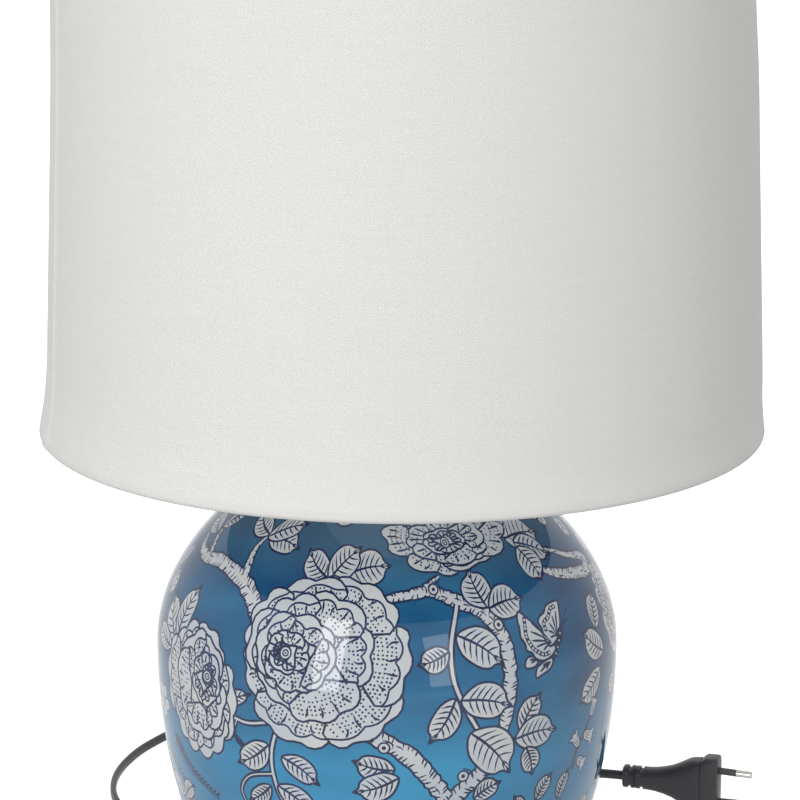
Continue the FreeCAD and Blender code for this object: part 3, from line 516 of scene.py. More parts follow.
def butterfly(turn, height):
    """A butterfly in flight, seen from the side: white wings with a dark margin set with white dots."""
    centre = spot(turn, height)

    def put(points):
        return near(centre, points)

    fore = [(-20.5, 18), (-23, 14.5), (-23.5, 10), (-24.5, 5.5), (-23, 2), (-23, -1.5), (-20, -3.5),
            (-18.5, -6.5), (-14, -8.5), (-8, -7.5), (-4, -4), (-7, 0), (-10, 4), (-13, 9), (-16.5, 13.5)]
    hind = [(7, 17.5), (2, 18), (-2.5, 17), (-5, 14.5), (-9, 13), (-11, 10.5), (-10, 7), (-10, 2),
            (-7.5, -2.5), (-2, -0.5), (1.5, 3.5), (4, 7.5), (6, 13)]
    tails = [[(-18, -7), (-20, -5), (-23.5, -5), (-25.5, -7.5), (-25.5, -10), (-21, -10.5), (-18, -9)],
             [(-9, -8), (-15.5, -9.5), (-19, -11.5), (-20, -16), (-15.5, -15), (-10.5, -13.5), (-7.5, -10)]]
    for tail in tails:
        patch(flowing(put(tail), True, 3))
    for wing in (fore, hind):
        patch(flowing(put(wing), True, 4), 1.3)
    for margin in ([(-18.5, 15), (-20, 10), (-21, 5), (-19.5, 0), (-17, -3), (-13, -5.5), (-8.5, -5.5)],
                   [(4, 15.5), (0, 15), (-3.5, 11.5), (-7.5, 9.5), (-7.5, 5)]):
        way = flowing(put(margin), steps=6)
        lay(ribbon(way, np.full(len(way), 2.3)), line)
        run = lengths_along(way)
        for place in np.arange(1.3, run[-1] - 0.6, 2.2):
            dot(way[int(np.searchsorted(run, place))], 0.72, white, 8)
    for root, ends in (((-6, -1), ((-15.5, 11), (-17.5, 7), (-18.3, 2.5), (-16.5, -1), (-12.5, -3.5))),
                       ((-1, 1), ((3, 13), (-0.5, 11.5), (-4, 8.5), (-6, 5), (-6, 1.5))),
                       ((-16, -7.5), ((-22, -8), (-22.5, -6.5))),
                       ((-9, -10), ((-17, -13.5), (-15, -11), (-13, -13)))):
        for end in ends:
            (x1, y1), (x2, y2) = root, end
            brush(put([end, ((x1 + x2) / 2, (y1 + y2) / 2 + 0.5), root]), 1.3, 2)
    trunk = flowing(put([(3.5, 4.5), (1.5, 2.2), (-0.5, -1), (-3.5, -5), (-7.5, -10)]), steps=5)
    girth = np.interp(np.linspace(0, 1, len(trunk)), [0, 0.15, 0.5, 1], [2.6, 4.4, 3.6, 1])
    lay(ribbon(trunk, girth), line)
    for i in range(2, len(trunk) - 1, 2):
        out = put([(6, -4 - 0.4 * i)])[0] - trunk[i]
        brush([trunk[i], trunk[i] + out / np.linalg.norm(out) * 3.6], 0.8, 2)
    for feeler in ([(3.5, 4), (7, 8.5), (13.5, 13.5)], [(3.5, 4), (7, 6.5), (10.5, 7.5)]):
        brush(put(feeler), 1.0)
    for mark in ((1.4, 2), (-0.6, -1.2), (-2.6, -4.2), (-4.8, -6.8)):
        dot(put([mark])[0], 0.6, white)


def garden(about, seed):
    """One half of the painting, laid out round the direction that it faces."""
    def t(turn):
        return turn + about

    tree(about, [
        ([(-80, 212), (-75, 205), (-68, 202.5), (-58, 204), (-46, 200.5), (-39, 194), (-34.5, 184),
          (-30, 170)], (1.5, 5, 7, 8, 9, 10, 9, 7)),
        ([(-45, 201), (-47, 213), (-45, 220)], (6, 4.5, 2)),
        ([(-66, 203), (-70.5, 212), (-72, 221)], (5, 4, 1.5))], seed=seed)
    tree(about, [
        ([(-7, 190), (0, 199), (6, 201), (13, 202), (20, 197), (26, 192), (30, 182), (31, 168), (30.5, 155),
          (29, 137), (25, 118), (19, 106), (14, 96), (8, 82)], (4, 5, 5.5, 6, 8, 8, 8, 8, 8, 7, 8, 8, 8, 6)),
        ([(-14, 146), (-4, 137), (5, 126), (10.5, 113), (15, 100)], (6, 8, 9, 9, 8)),
        ([(10, 202), (13.6, 206), (16, 208)], (5, 3.5, 2))], seed=seed + 1)
    tree(about, [
        ([(50, 207), (59, 209), (68, 203), (76, 199), (78.5, 196), (74, 193), (65, 195.5), (57, 199),
          (50, 204)], (1.5, 3, 4, 6, 7, 7.5, 7, 6, 3))], seed=seed + 2)
    tree(about, [
        ([(-58, 30), (-54, 48), (-44, 62), (-30, 70)], (9, 9, 8, 6)),
        ([(-53, 50), (-62, 66), (-66, 78)], (6, 5, 4)),
        ([(74, 28), (70, 50), (60, 66), (48, 72)], (8, 8, 7, 5))], seed=seed + 3)
    tree(about, [
        ([(-42, 138), (-38, 136), (-34, 135.5), (-27, 139)], (2.4, 2.4)),
        ([(-26.5, 136), (-28.2, 123), (-28, 110), (-25.5, 96), (-19, 84)], (2.6, 2.6)),
        ([(-38, 136), (-39, 128), (-36, 122)], (1.8, 1.2)),
        ([(-28.2, 111), (-35, 107), (-38, 98), (-36, 88)], (2, 1.6)),
        ([(19.5, 196), (16.4, 180), (16, 165), (18.3, 150.5), (24, 129)], (3, 3, 2.8, 2.6)),
        ([(53, 100), (54, 110), (57, 118), (60, 126)], (1.4, 1.2)),
        ([(31, 128), (35, 127)], (1.8, 1.6))], bark=False)
    sprig(about, [(-66, 112), (-60, 101), (-55, 95), (-47, 89)])
    sprig(about, [(-74, 104), (-68, 92), (-60, 82)])
    sprig(about, [(69, 122), (68.5, 106), (69, 90)], 3.4)
    for turned, height in ((30, 185), (13.6, 203), (-0.5, 130), (18.6, 112.7)):
        knot(t(turned), height)
    # Where each leaf starts and ends, in degrees round and millimetres up, and how full it is.
    for turn, height, tip_turn, tip_height, fullness in (
            (-17.4, 207, -26.4, 218, 0.66), (-11.4, 209.6, 1.6, 213, 0.72),
            (-17.1, 206.4, -8.2, 220.3, 0.68), (-44, 219, -30, 217, 0.5), (-45, 219, -31, 227, 0.45),
            (-45, 220, -57, 228, 0.5), (-72, 215, -64, 226, 0.5), (-73, 212, -84, 220, 0.5),
            (-62.6, 160, -73.8, 182.8, 0.5), (-63.5, 164, -60.5, 192, 0.52), (-66, 158, -78, 165, 0.45),
            (-43, 140, -33.5, 150.8, 0.36), (-36, 122, -39, 128, 0.3), (-29, 126, -38.5, 112.5, 0.6),
            (-25.5, 121, -16, 108, 0.52), (-27, 105, -17, 90, 0.5), (-29, 104, -36, 93, 0.52),
            (2, 118, -8, 123, 0.6), (3, 114, -8, 106, 0.6), (15.5, 176, 7.5, 170.5, 0.72),
            (18, 183, 29.5, 166.5, 0.64), (17.8, 152.4, 31.1, 145.6, 0.64),
            (16.5, 153.5, 10, 131.5, 0.56), (20.2, 135, 31.1, 110.3, 0.68), (28, 193, 25.5, 210, 0.86),
            (28.5, 192.5, 40.1, 194, 0.74), (33.6, 131, 39.6, 149.4, 0.58),
            (32.1, 127.8, 45.3, 127.3, 0.62), (35.5, 122, 37.9, 106, 0.7),
            (44.4, 218.3, 61.5, 216.2, 0.6), (47.2, 216, 59.7, 206.2, 0.5), (47.2, 214, 49.9, 198, 0.9),
            (64.6, 168.3, 69.3, 185.3, 0.62), (66.8, 155.5, 57.4, 170.5, 0.62),
            (64.5, 148.2, 53.7, 135.3, 0.56), (21.6, 99.7, 28.8, 106.7, 0.66),
            (40.2, 90.9, 44.9, 103.9, 0.56), (48.4, 87, 51.6, 102.5, 0.5), (37, 86, 33, 97, 0.6),
            (47, 72, 38, 80, 0.55), (48, 72, 50, 86, 0.5), (60, 66, 66, 80, 0.5), (8, 82, 0, 88, 0.6),
            (7, 82, 14, 74, 0.55), (14, 96, 24, 88, 0.5), (-30, 70, -24, 80, 0.5),
            (-29, 69, -19, 66, 0.5), (-44, 62, -46, 76, 0.5), (-66, 78, -75, 86, 0.55),
            (-66, 77, -58, 88, 0.5), (-62, 64, -74, 62, 0.5), (72, 45, 82, 52, 0.5),
            (66, 58, 56, 50, 0.5), (-56, 40, -68, 42, 0.5), (-50, 55, -40, 48, 0.5),
            (24, 230, 34, 235, 0.6), (-20, 229, -8, 236, 0.55), (80, 128, 86, 142, 0.45),
            (80, 126, 84, 112, 0.45), (-82, 132, -86, 146, 0.45), (-82, 130, -88, 118, 0.45),
            (-84, 190, -80, 203, 0.45), (-85, 96, -80, 108, 0.45)):
        leaf((t(turn), height), (t(tip_turn), tip_height), fullness)
    for turn, height, tip_turn, tip_height in ((60, 125, 62, 134), (55, 112, 52, 120), (57, 117, 62, 113),
                                               (55, 105, 59, 99)):
        bell((t(turn), height), (t(tip_turn), tip_height))
    peony(t(-52.4), 144, 29, 38, (9, 9), ((1.0, 6), (0.68, 5), (0.38, 4), (0.16, 3)), seed + 11)
    peony(t(23), 223, 32, 21, (-3, -3), ((1.0, 7), (0.66, 5), (0.34, 4)), seed + 12, 0.45)
    peony(t(-16.2), 173.5, 45, 43.5, (-18, 0), ((1.0, 7), (0.74, 6), (0.47, 4), (0.24, 4), (0.11, 3)),
          seed + 13)
    peony(t(-3), 56, 36, 27, (6, 2), ((1.0, 8), (0.7, 6), (0.42, 4), (0.2, 3)), seed + 14)
    peony(t(80), 170, 17, 24, (-2, 2), ((1.0, 7), (0.66, 5), (0.34, 4)), seed + 15)
    butterfly(t(47.9), 172.4)


def blossom(centre, size, first):
    """A small flower of five round petals."""
    turns = np.linspace(0, 2 * pi, 12, endpoint=False)
    petal = np.column_stack([np.cos(turns) * 0.4, np.sin(turns) * 0.36]) * size
    for facing in first + np.arange(5) * 2 * pi / 5:
        out = np.array([cos(facing), sin(facing)])
        turned = petal @ np.array([[out[0], out[1]], [-out[1], out[0]]])
        patch(near(centre, turned + out * size * 0.56))
        brush(near(centre, [out * size * 0.72, out * size * 0.5, out * size * 0.3]), 1.0, 2)
    dot(centre, size * 0.2, line, 12)
    dot(centre, size * 0.1, white, 8)


def fill_gaps(seed):
    """Small flowers and leaves where the gardens leave the ground bare, at the sides and near the foot."""
    chance = random.Random(seed)
    tries, leaf_room, blossom_room = 2600, 9.5, 12
    taken = np.vstack([loop for loop, _ in painting])
    for _ in range(tries):
        turn = chance.uniform(-82, 263)
        height = chance.uniform(41, 228)
        if abs(turn) < 70 and height > 66:
            continue
        centre = spot(turn, height)
        clear = float(np.min(np.hypot(*(taken - centre).T)))
        if clear < leaf_room:
            continue
        first = len(painting)
        facing = chance.uniform(0, 6.28)
        if clear > blossom_room:
            blossom(centre, min(clear - 3.5, 10), facing)
        else:
            way = np.array([cos(facing), sin(facing)]) * (clear - 2.5)
            (x1, y1), (x2, y2) = near(centre, [-way, way])
            rise = np.interp([y1, y2], climb, wall[:, 1])
            leaf((degrees(x1 / belly_r), rise[0]), (degrees(x2 / belly_r), rise[1]), 0.6, veins=4)
        taken = np.vstack([taken] + [loop for loop, _ in painting[first:]])


garden(0, 20)
garden(180, 50)
fill_gaps(70)
left, low = spot(skin_seam, skin_low)
right, high = spot(skin_seam + 360, skin_high)
columns, rows = 120, 50
posts = np.linspace(left, right, columns + 1)
# Plain bands run round the jar just above its foot and just below its mouth.
for band_z, color in ((skin_low + 1.3, white), (skin_low + 2.6, line), (skin_low + 5.2, line),
                      (skin_high - 1.3, white), (skin_high - 3.0, line)):
    along = np.column_stack([posts, np.full(columns + 1, spot(0, band_z)[1])])
    half = (0, (band_line_w if color == line else band_white_w) / 2)
    lay(np.vstack([along - half, along[::-1] + half]), color)


def inside(loop, points):
    """Which of the points the loop goes round."""
    a, b = loop, np.roll(loop, -1, axis=0)
    x, y = points[:, :1], points[:, 1:]
    cross = (b[:, 0] - a[:, 0]) * (y - a[:, 1]) - (x - a[:, 0]) * (b[:, 1] - a[:, 1])
    up = (a[:, 1] <= y) & (b[:, 1] > y) & (cross > 0)
    down = (a[:, 1] > y) & (b[:, 1] <= y) & (cross < 0)
    return (up.sum(1) - down.sum(1)) != 0


# Where a later shape hides the edge of an earlier one, that edge is left out. Dots and veins don't count.
too_small = 12
boxes = np.array([(*loop.min(0), *loop.max(0)) for loop, _ in painting])
covered = [np.zeros(len(loop), bool) for loop, _ in painting]
for i, (loop, _) in enumerate(painting):
    if np.prod(boxes[i, 2:] - boxes[i, :2]) < too_small:
        continue
    under = np.flatnonzero((boxes[:i, 0] < boxes[i, 2]) & (boxes[:i, 2] > boxes[i, 0])
                           & (boxes[:i, 1] < boxes[i, 3]) & (boxes[:i, 3] > boxes[i, 1]))
    for k in under:
        covered[k] |= inside(loop, painting[k][0])

# The rows lie closer together near the foot and the mouth, where the wall curves most.
shares = [0.6 * j / rows + 0.2 * (1 - cos(pi * j / rows)) for j in range(rows + 1)]
marks = [(post, low + (high - low) * share) for post in posts for share in shares]
links = []
post_marks = rows + 1
for foot in range(0, columns * post_marks, post_marks):
    links += [(foot, foot + post_marks), (foot + rows, foot + rows + post_marks)]
for j in range(rows):
    links += [(j, j + 1), (columns * post_marks + j, columns * post_marks + j + 1)]
for (loop, _), hidden in zip(painting, covered):
    count = len(loop)
    wanted = [k for k in range(count) if not (hidden[k] and hidden[(k + 1) % count])]
    number = {}
    for k in wanted:
        for end in (k, (k + 1) % count):
            if end not in number:
                number[end] = len(marks)
                marks.append(tuple(loop[end]))
        links.append((number[k], number[(k + 1) % count]))
drawn, _, pieces, _, _, _ = delaunay_2d_cdt([Vector(m) for m in marks], links, [], 0, 1e-4, False)
flat = np.array([(p.x, p.y) for p in drawn])
corners = np.array(pieces)
middles = flat[corners].mean(axis=1)
colors = np.full(len(corners), wash)
order = np.argsort(middles[:, 0])
sorted_x = middles[order, 0]
for (loop, color), (x1, y1, x2, y2) in zip(painting, boxes):
    some = order[np.searchsorted(sorted_x, x1):np.searchsorted(sorted_x, x2)]
    some = some[(middles[some, 1] > y1) & (middles[some, 1] < y2)]
    colors[some[inside(loop, middles[some])]] = color


def round_jar(flat_points, out):
    """The flat drawing wrapped on the jar, so far out from its wall, and the way that each point faces."""
    turn = flat_points[:, 0] / belly_r
    radius = np.interp(flat_points[:, 1], climb, wall[:, 0])
    height = np.interp(flat_points[:, 1], climb, wall[:, 1])
    ahead, behind = flat_points[:, 1] + 1, flat_points[:, 1] - 1
    dr = np.interp(ahead, climb, wall[:, 0]) - np.interp(behind, climb, wall[:, 0])
    dz = np.interp(ahead, climb, wall[:, 1]) - np.interp(behind, climb, wall[:, 1])
    size = np.hypot(dr, dz)
    dr, dz = dr / size, dz / size
    facing = np.column_stack([dz * np.sin(turn), -dz * np.cos(turn), -dr])
    base = np.column_stack([jar_x + radius * np.sin(turn), -radius * np.cos(turn), height])
    return (base + facing * out) / 1000, facing


places, _ = round_jar(flat, skin_out)
mesh = bpy.data.meshes.new("painted_skin")
mesh.from_pydata(places.tolist(), [], corners.tolist())
mesh.polygons.foreach_set("material_index", colors)
bm = bmesh.new()
bm.from_mesh(mesh)
bmesh.ops.remove_doubles(bm, verts=[v for v in bm.verts if v.is_boundary], dist=2e-6)
outside = len(bm.verts)
# The back of the glaze is drawn down inside the wall from the upper edge, and joined to the lower edge.
ring = [e for e in bm.edges if e.is_boundary and e.verts[0].co.z * 1000 > belly_z]
for station in np.linspace(high, low, 16):
    fresh, ring = drawn_out(bm, ring)
    for vert in fresh:
        turn = atan2(vert.co.x * 1000 - jar_x, -vert.co.y * 1000)
        vert.co = round_jar(np.array([(turn * belly_r, station)]), -skin_in)[0][0]
bmesh.ops.bridge_loops(bm, edges=[e for e in bm.edges if e.is_boundary])
bmesh.ops.triangulate(bm, faces=[f for f in bm.faces if len(f.verts) > 3])
bm.to_mesh(mesh)
bm.free()

# The blue ground's colour is the wash's own mottling together with painted light: it is paler where the wall
# faces front or back and darker at the sides, paler towards the foot, and greyer on the shoulder.
wash_and_painted_light_finish = Finish("blue_wash_and_painted_light", srgb(60, 118, 158), 0.03)
cloud = wash_and_painted_light_finish.noise(14)
streak = wash_and_painted_light_finish.noise(1, 4, stretch=(16, 16, 62))
depth = wash_and_painted_light_finish.ramp(cloud * 0.62 + streak * 0.38, 0.36, 0.64)
_, northing, rise = wash_and_painted_light_finish.axes()
# Painted light and shade: the wall is paler where it faces front or back, and darker at the sides.
painted_light_front_and_back = northing.math("ABSOLUTE", northing) * 5.0 - 0.42
pale_wash_and_painted_light = depth * 0.4 + wash_and_painted_light_finish.ramp(rise, 0.15, 0.118) * 0.5 + painted_light_front_and_back
laid = wash_and_painted_light_finish.mix(pale_wash_and_painted_light.at_least(0.0), srgb(0, 70, 116), srgb(54, 150, 196))
# Painted reflection: a greyer blue on the shoulder stands in for the lampshade's underside mirrored in the
# glaze.
shoulder = wash_and_painted_light_finish.ramp(rise, 0.2, 0.222) * 0.6
wash_and_painted_light_finish.set("Base Color", wash_and_painted_light_finish.mix(shoulder, laid, srgb(72, 106, 128)))
white_finish = mottled("white_body", 0.03, (207, 210, 211), (190, 198, 207), 30, 2, spread=(0.35, 0.7))
line_finish = mottled("dark_blue_line", 0.03, (16, 30, 66), (34, 54, 98), 90, 2, spread=(0.35, 0.65))
for finish in (wash_and_painted_light_finish, white_finish, line_finish):
    mesh.materials.append(finish.material)
mesh.polygons.foreach_set("use_smooth", [True] * len(mesh.polygons))
where = np.array([v.co for v in mesh.vertices]) * 1000
turns = np.arctan2(where[:, 0] - jar_x, -where[:, 1])
ups = np.interp(where[:, 2], wall[:, 1], climb)
_, facing = round_jar(np.column_stack([turns * belly_r, ups]), 0)
facing[outside:] *= -1
mesh.normals_split_custom_set_from_vertices(facing.tolist())
painted_skin = new_object("painted_skin", mesh)
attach(painted_skin, "root")


# ---- bare jar ----
# The jar's own clay body shows where nothing is painted: inside, at the lip, and round the foot. It has the
# same clear glaze over white, with a little of the wash run into it, and an unglazed ring to stand on.
def dress(finish, *nodes):
    """Give solids of the frame their finish."""
    for node in nodes:
        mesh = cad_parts[node].data
        mesh.materials.clear()
        mesh.materials.append(finish.material)


bare_jar = Finish("bare_jar", srgb(204, 208, 207), 0.08)
blush = bare_jar.ramp(bare_jar.noise(22), 0.45, 0.75)
glazed = bare_jar.mix(blush * 0.35, srgb(208, 211, 209), srgb(120, 160, 190))
rise = bare_jar.axes()[2]
below_skin = bare_jar.ramp(rise, 0.0245, 0.0235)
above_ring = bare_jar.ramp(rise, 0.0075, 0.0085)
washed = bare_jar.mix(below_skin, glazed, srgb(62, 118, 154))
clay = bare_jar.mix(bare_jar.noise(500), srgb(196, 186, 168), srgb(216, 208, 192))
bare_jar.set("Base Color", bare_jar.mix(above_ring, clay, washed))
bare_jar.set("Roughness", 0.8 - above_ring * 0.72)
bare_jar.bump(bare_jar.noise(60, 2), 0.0006, 0.15)
dress(bare_jar, "jar")


# ---- foot ----
# A pressed wool felt ring is glued under the foot, so that the glaze doesn't scratch the table. Behind and
# to the left a black rubber bush with a tapered sleeve fills the hole that the lead leaves by.
felt = mottled("pressed_felt", 0.95, (40, 40, 43), (74, 74, 78), 900, 4, relief=(0.0006, 0.5))
dress(felt, "foot_felt")
rubber = mottled("black_rubber", 0.42, (28, 28, 30), (46, 46, 48), 240, rougher=0.25)
dress(rubber, "strain_relief", "floor_gasket", "cap_seal")


# ---- stem ----
# A hollow threaded rod is clamped through the jar by a nut and washer below and a spun cap above; a sleeve
# lifts the lampholder. All are steel with satin nickel plate.
nickel = mottled("satin_nickel", 0.2, (176, 174, 170), (206, 204, 200), 1, rougher=0.2, stretch=(6, 6, 900),
                 Metallic=1.0)
dress(nickel, "threaded_rod", "floor_washer", "stem_nut", "jar_cap", "lock_nut", "neck_sleeve",
      "holder_grub_screw", "switch_screws")


# ---- lampholder ----
# Moulded black holder in two halves that screw together, with the ring that holds the shade down, a
# steatite insert, and brass contacts and screws.
moulded = mottled("moulded_black", 0.34, (30, 30, 32), (44, 44, 47), 420, 4, rougher=0.2,
                  relief=(0.0002, 0.3))
dress(moulded, "holder_cap", "holder_shell", "shade_ring")
steatite = mottled("steatite", 0.6, (216, 212, 202), (232, 229, 221), 300, 4, relief=(0.0003, 0.3))
dress(steatite, "socket_insert")
brass = mottled("bright_brass", 0.14, (196, 158, 88), (226, 192, 120), 160, rougher=0.25, Metallic=1.0)
dress(brass, "terminal_screws", "socket_screw_shell", "centre_contact", "bulb_contact", "switch_contacts")


# ---- bulb ----
# A pearl glass bulb with a rolled aluminium screw cap and a black glass seal round its contact.
pearl = mottled("pearl_glass", 0.22, (230, 228, 221), (240, 239, 234), 120, Coat_Weight=0.5,
                Coat_Roughness=0.08)
dress(pearl, "bulb_glass")
rolled = mottled("rolled_aluminium", 0.2, (178, 178, 178), (204, 204, 204), 200, rougher=0.25, Metallic=1.0)
dress(rolled, "bulb_cap")
seal_glass = mottled("black_glass_seal", 0.08, (18, 18, 21), (32, 32, 36), 260, 2, rougher=0.15)
dress(seal_glass, "bulb_insulator")


# ---- shade frame ----
# Two wire rings, three arms and a flat fitter ring, welded together and coated white.
coated = mottled("white_powder_coat", 0.4, (214, 214, 212), (226, 226, 224), 500, 2, relief=(0.0002, 0.3))
dress(coated, "shade_bottom_ring", "shade_top_ring", "fitter_ring", "spider_arms")


# ---- shade ----
# One strip of close-woven off-white cloth on a white styrene sheet, lapped and glued at one seam. The cloth
# is rolled over both wire rings and tucked in behind. It flares where it meets the lower ring.
seam_turn = -75.5
lap = 2.9
cloth_t = 0.6
backing_t = 0.7
clear_of_wire = 1.85
hem = 12.0
side_heights = (264.1, 280.1, 296.0, 509.9)
side_radii = (185.0, 182.62, 181.6, 173.0)
rim_z, top_z = side_heights[0], side_heights[-1]
levels = [268, 272, 277, 283, 290, 300] + [round(z) for z in np.linspace(318, 504, 11)]
free_from, free_to = 267, 503


def side(inwards, height):
    """A point of the shade's side, that far inside its outer face."""
    return float(np.interp(height, side_heights, side_radii)) - inwards, height


def rolled_over(ring_r, ring_z, radius, first, last):
    """Points round a wire ring, from one angle to another, in degrees; 0 is outwards and 90 is up."""
    turns = np.radians(np.linspace(first, last, 9))
    return [(ring_r + radius * cos(a), ring_z + radius * sin(a)) for a in turns]


def spun_sheet(name, profile, finish):
    """Spin a closed profile round the stem, cut the lapped seam in, and let the sheet settle out of true."""
    bm = bmesh.new()
    corners = [bm.verts.new((0, -radius, height)) for radius, height in profile]
    edges = [bm.edges.new(pair) for pair in zip(corners, corners[1:] + corners[:1])]
    bmesh.ops.spin(bm, geom=corners + edges, cent=(0, 0, 0), axis=(0, 0, 1), angle=2 * pi, steps=144,
                   use_merge=True)
    for cut in (seam_turn, seam_turn + 0.12, seam_turn + lap, seam_turn + lap + 0.3):
        turn = radians(cut)
        bmesh.ops.bisect_plane(bm, geom=bm.verts[:] + bm.edges[:] + bm.faces[:], dist=1e-4,
                               plane_co=(0, 0, 0), plane_no=(cos(turn), sin(turn), 0))
    for vert in bm.verts:
        x, y, z = vert.co
        radius = hypot(x, y)
        turn = degrees(atan2(x, -y))
        past_wire = clear_of_wire + cloth_t / 2
        outer = radius > side(cloth_t / 2, z)[0] or not rim_z - past_wire < z < top_z + past_wire
        # The rings hold it true; between them it leans a little to the right, and isn't quite round.
        lean = sin(radians(turn))
        rise = min(max((z - free_from) / 28, 0), 1) * min(max((free_to - z) / 60, 0), 1)
        push = (1.3 * lean + 0.4 * max(lean, 0) + 0.12 * sin(radians(3 * turn + 40))) * rise
        # The free end of the strip lies on top of the other.
        if outer and seam_turn + 0.06 < turn < seam_turn + lap + 0.15:
            push += 0.5
        vert.co.x *= (radius + push) / radius
        vert.co.y *= (radius + push) / radius
    bmesh.ops.scale(bm, vec=(0.001, 0.001, 0.001), verts=bm.verts)
    sheet = mesh_object(name, bm, [finish])
    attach(sheet, "shade")
    return sheet


# The weave shows as crossing diagonals that wander a little, with thicker threads among them.
cloth = Finish("shade_cloth", srgb(226, 225, 222), 0.85, Sheen_Weight=0.15, Sheen_Roughness=0.5)
east, north, rise = cloth.axes()
round_shade = east.math("ARCTAN2", east, north * -1.0) * 0.18
thread = 2 * pi / 0.0014
wander = cloth.noise(55, 2) * 5.0
rising = ((round_shade + rise) * thread + wander).sine()
falling = ((round_shade - rise) * thread + wander).sine()
twill = rising * 0.22 + falling * 0.28 + 0.5
slub = cloth.noise(1, stretch=(30, 30, 900))
cloth.set("Base Color", cloth.mix(twill * 0.8 + slub * 0.2, srgb(212, 211, 209), srgb(243, 242, 239)))
cloth.bump(twill + slub * 0.5, 0.00012, 0.6)

lower_wire = (side_radii[0] - cloth_t - clear_of_wire, rim_z)
upper_wire = (side_radii[-1] - cloth_t - clear_of_wire, top_z)
tucked = cloth_t + backing_t + 0.1
profile = rolled_over(*upper_wire, clear_of_wire + cloth_t, 180, 0)
profile += [side(0, z) for z in levels[::-1]]
profile += rolled_over(*lower_wire, clear_of_wire + cloth_t, 0, -180)
profile += [side(tucked + cloth_t, rim_z + hem), side(tucked, rim_z + hem)]
profile += rolled_over(*lower_wire, clear_of_wire, -180, 0)
profile += [side(cloth_t, z) for z in levels]
profile += rolled_over(*upper_wire, clear_of_wire, 0, 180)
profile += [side(tucked, top_z - hem), side(tucked + cloth_t, top_z - hem)]
shade_cloth = spun_sheet("shade_cloth", profile, cloth)
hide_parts("shade_fabric")

styrene = mottled("white_styrene", 0.36, (223, 222, 218), (233, 232, 229), 18, rougher=0.12)
back_levels = [z for z in levels if rim_z + 3 < z < top_z - 3]
profile = [side(cloth_t + 0.02, z) for z in back_levels]
profile += [side(cloth_t + backing_t, z) for z in back_levels[::-1]]
shade_backing = spun_sheet("shade_backing", profile, styrene)
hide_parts("shade_liner")


# ---- lead ----
# Flat twin lead in black PVC, 3.4 by 5.4 mm, standing on its narrow edge. It leaves the foot behind and to
# the left, runs through the switch, is wound up in two layers, and goes on to the plug. The places of the
# switch and the plug are in millimetres, the rest in metres.
lead_w = 0.0034
lead_h = 0.0054
lie = 0.00275
bush_z = 0.0115
coil_z = 0.0041
switch_at = (-64.0, 188.0)
switch_heading = radians(-84)
plug_at = (128.1, 137.5, 17.65)
plug_heading = radians(-18)
coil_middle = (0.050, 0.148)
coil_r = 0.041
turn_gap = 0.0059
wound = 2270
coil_points = 114
spline_draws_in = 0.985


def on_the_way(place, heading, far, up):
    """A point so many millimetres along a heading, in metres, to a hundredth of a millimetre."""
    return (round((place[0] + far * cos(heading)) / 1000, 5),
            round((place[1] + far * sin(heading)) / 1000, 5), up)


def smooth_curve(name, points, twist):
    """A smooth line with these points as its control points."""
    curve = bpy.data.curves.new(name, "CURVE")
    curve.dimensions = "3D"
    curve.twist_mode = twist
    spline = curve.splines.new("NURBS")
    spline.points.add(len(points) - 1)
    for control, point in zip(spline.points, points):
        control.co = (*point, 1)
    spline.order_u = 3
    spline.use_endpoint_u = True
    spline.resolution_u = 6
    return curve


def drawn_from(curve):
    """The mesh that a curve gives, as it stands."""
    holder = new_object("drawing", curve)
    seen_by = bpy.context.evaluated_depsgraph_get()
    mesh = bpy.data.meshes.new_from_object(holder.evaluated_get(seen_by))
    bpy.data.objects.remove(holder)
    return mesh


def flat_lead(name, points, twist="Z_UP"):
    """A flat lead with round edges along those control points, and the points of the line it follows."""
    curve = smooth_curve(name, points, twist)
    line = [tuple(vert.co) for vert in drawn_from(curve).vertices]
    edge = bpy.data.curves.new(name + "_section", "CURVE")
    edge.dimensions = "2D"
    ring = edge.splines.new("POLY")
    ring.use_cyclic_u = True
    turns = [2 * pi * (i + 0.5) / 20 for i in range(20)]
    ring.points.add(len(turns) - 1)
    for control, turn in zip(ring.points, turns):
        straight = copysign((lead_h - lead_w) / 2, sin(turn))
        control.co = (lead_w / 2 * cos(turn), lead_w / 2 * sin(turn) + straight, 0, 1)
    section = new_object(name + "_section", edge)
    curve.bevel_mode = "OBJECT"
    curve.bevel_object = section
    curve.use_fill_caps = True
    mesh = drawn_from(curve)
    bpy.data.objects.remove(section)
    bm = bmesh.new()
    bm.from_mesh(mesh)
    bmesh.ops.remove_doubles(bm, verts=bm.verts, dist=1e-6)
    return mesh_object(name, bm, [jacket]), line


jacket = soft_plastic("black_pvc", (40, 40, 42), (56, 56, 59))
route = [(-0.0967, 0.05583, bush_z), (-0.1123, 0.0648, bush_z), (-0.129, 0.078, 0.006),
         (-0.147, 0.098, lie), (-0.161, 0.122, lie), (-0.169, 0.150, lie), (-0.169, 0.182, lie),
         (-0.160, 0.215, lie), (-0.149, 0.236, lie), (-0.135, 0.2585, lie), (-0.1185, 0.269, lie),
         (-0.099, 0.270, lie), (-0.0815, 0.2615, lie), (-0.070, 0.245, 0.004)]
route += [on_the_way(switch_at, switch_heading, far, 0.0075) for far in (-41, -29, 29, 40)]
route += [(-0.0582, 0.133, 0.0042), (-0.051, 0.1212, lie), (-0.0394, 0.1137, lie), (-0.0257, 0.1119, lie),
          (-0.0126, 0.1161, lie), (-0.0026, 0.1256, lie), (0.0037, 0.1421, coil_z), (0.0095, 0.1570, coil_z)]
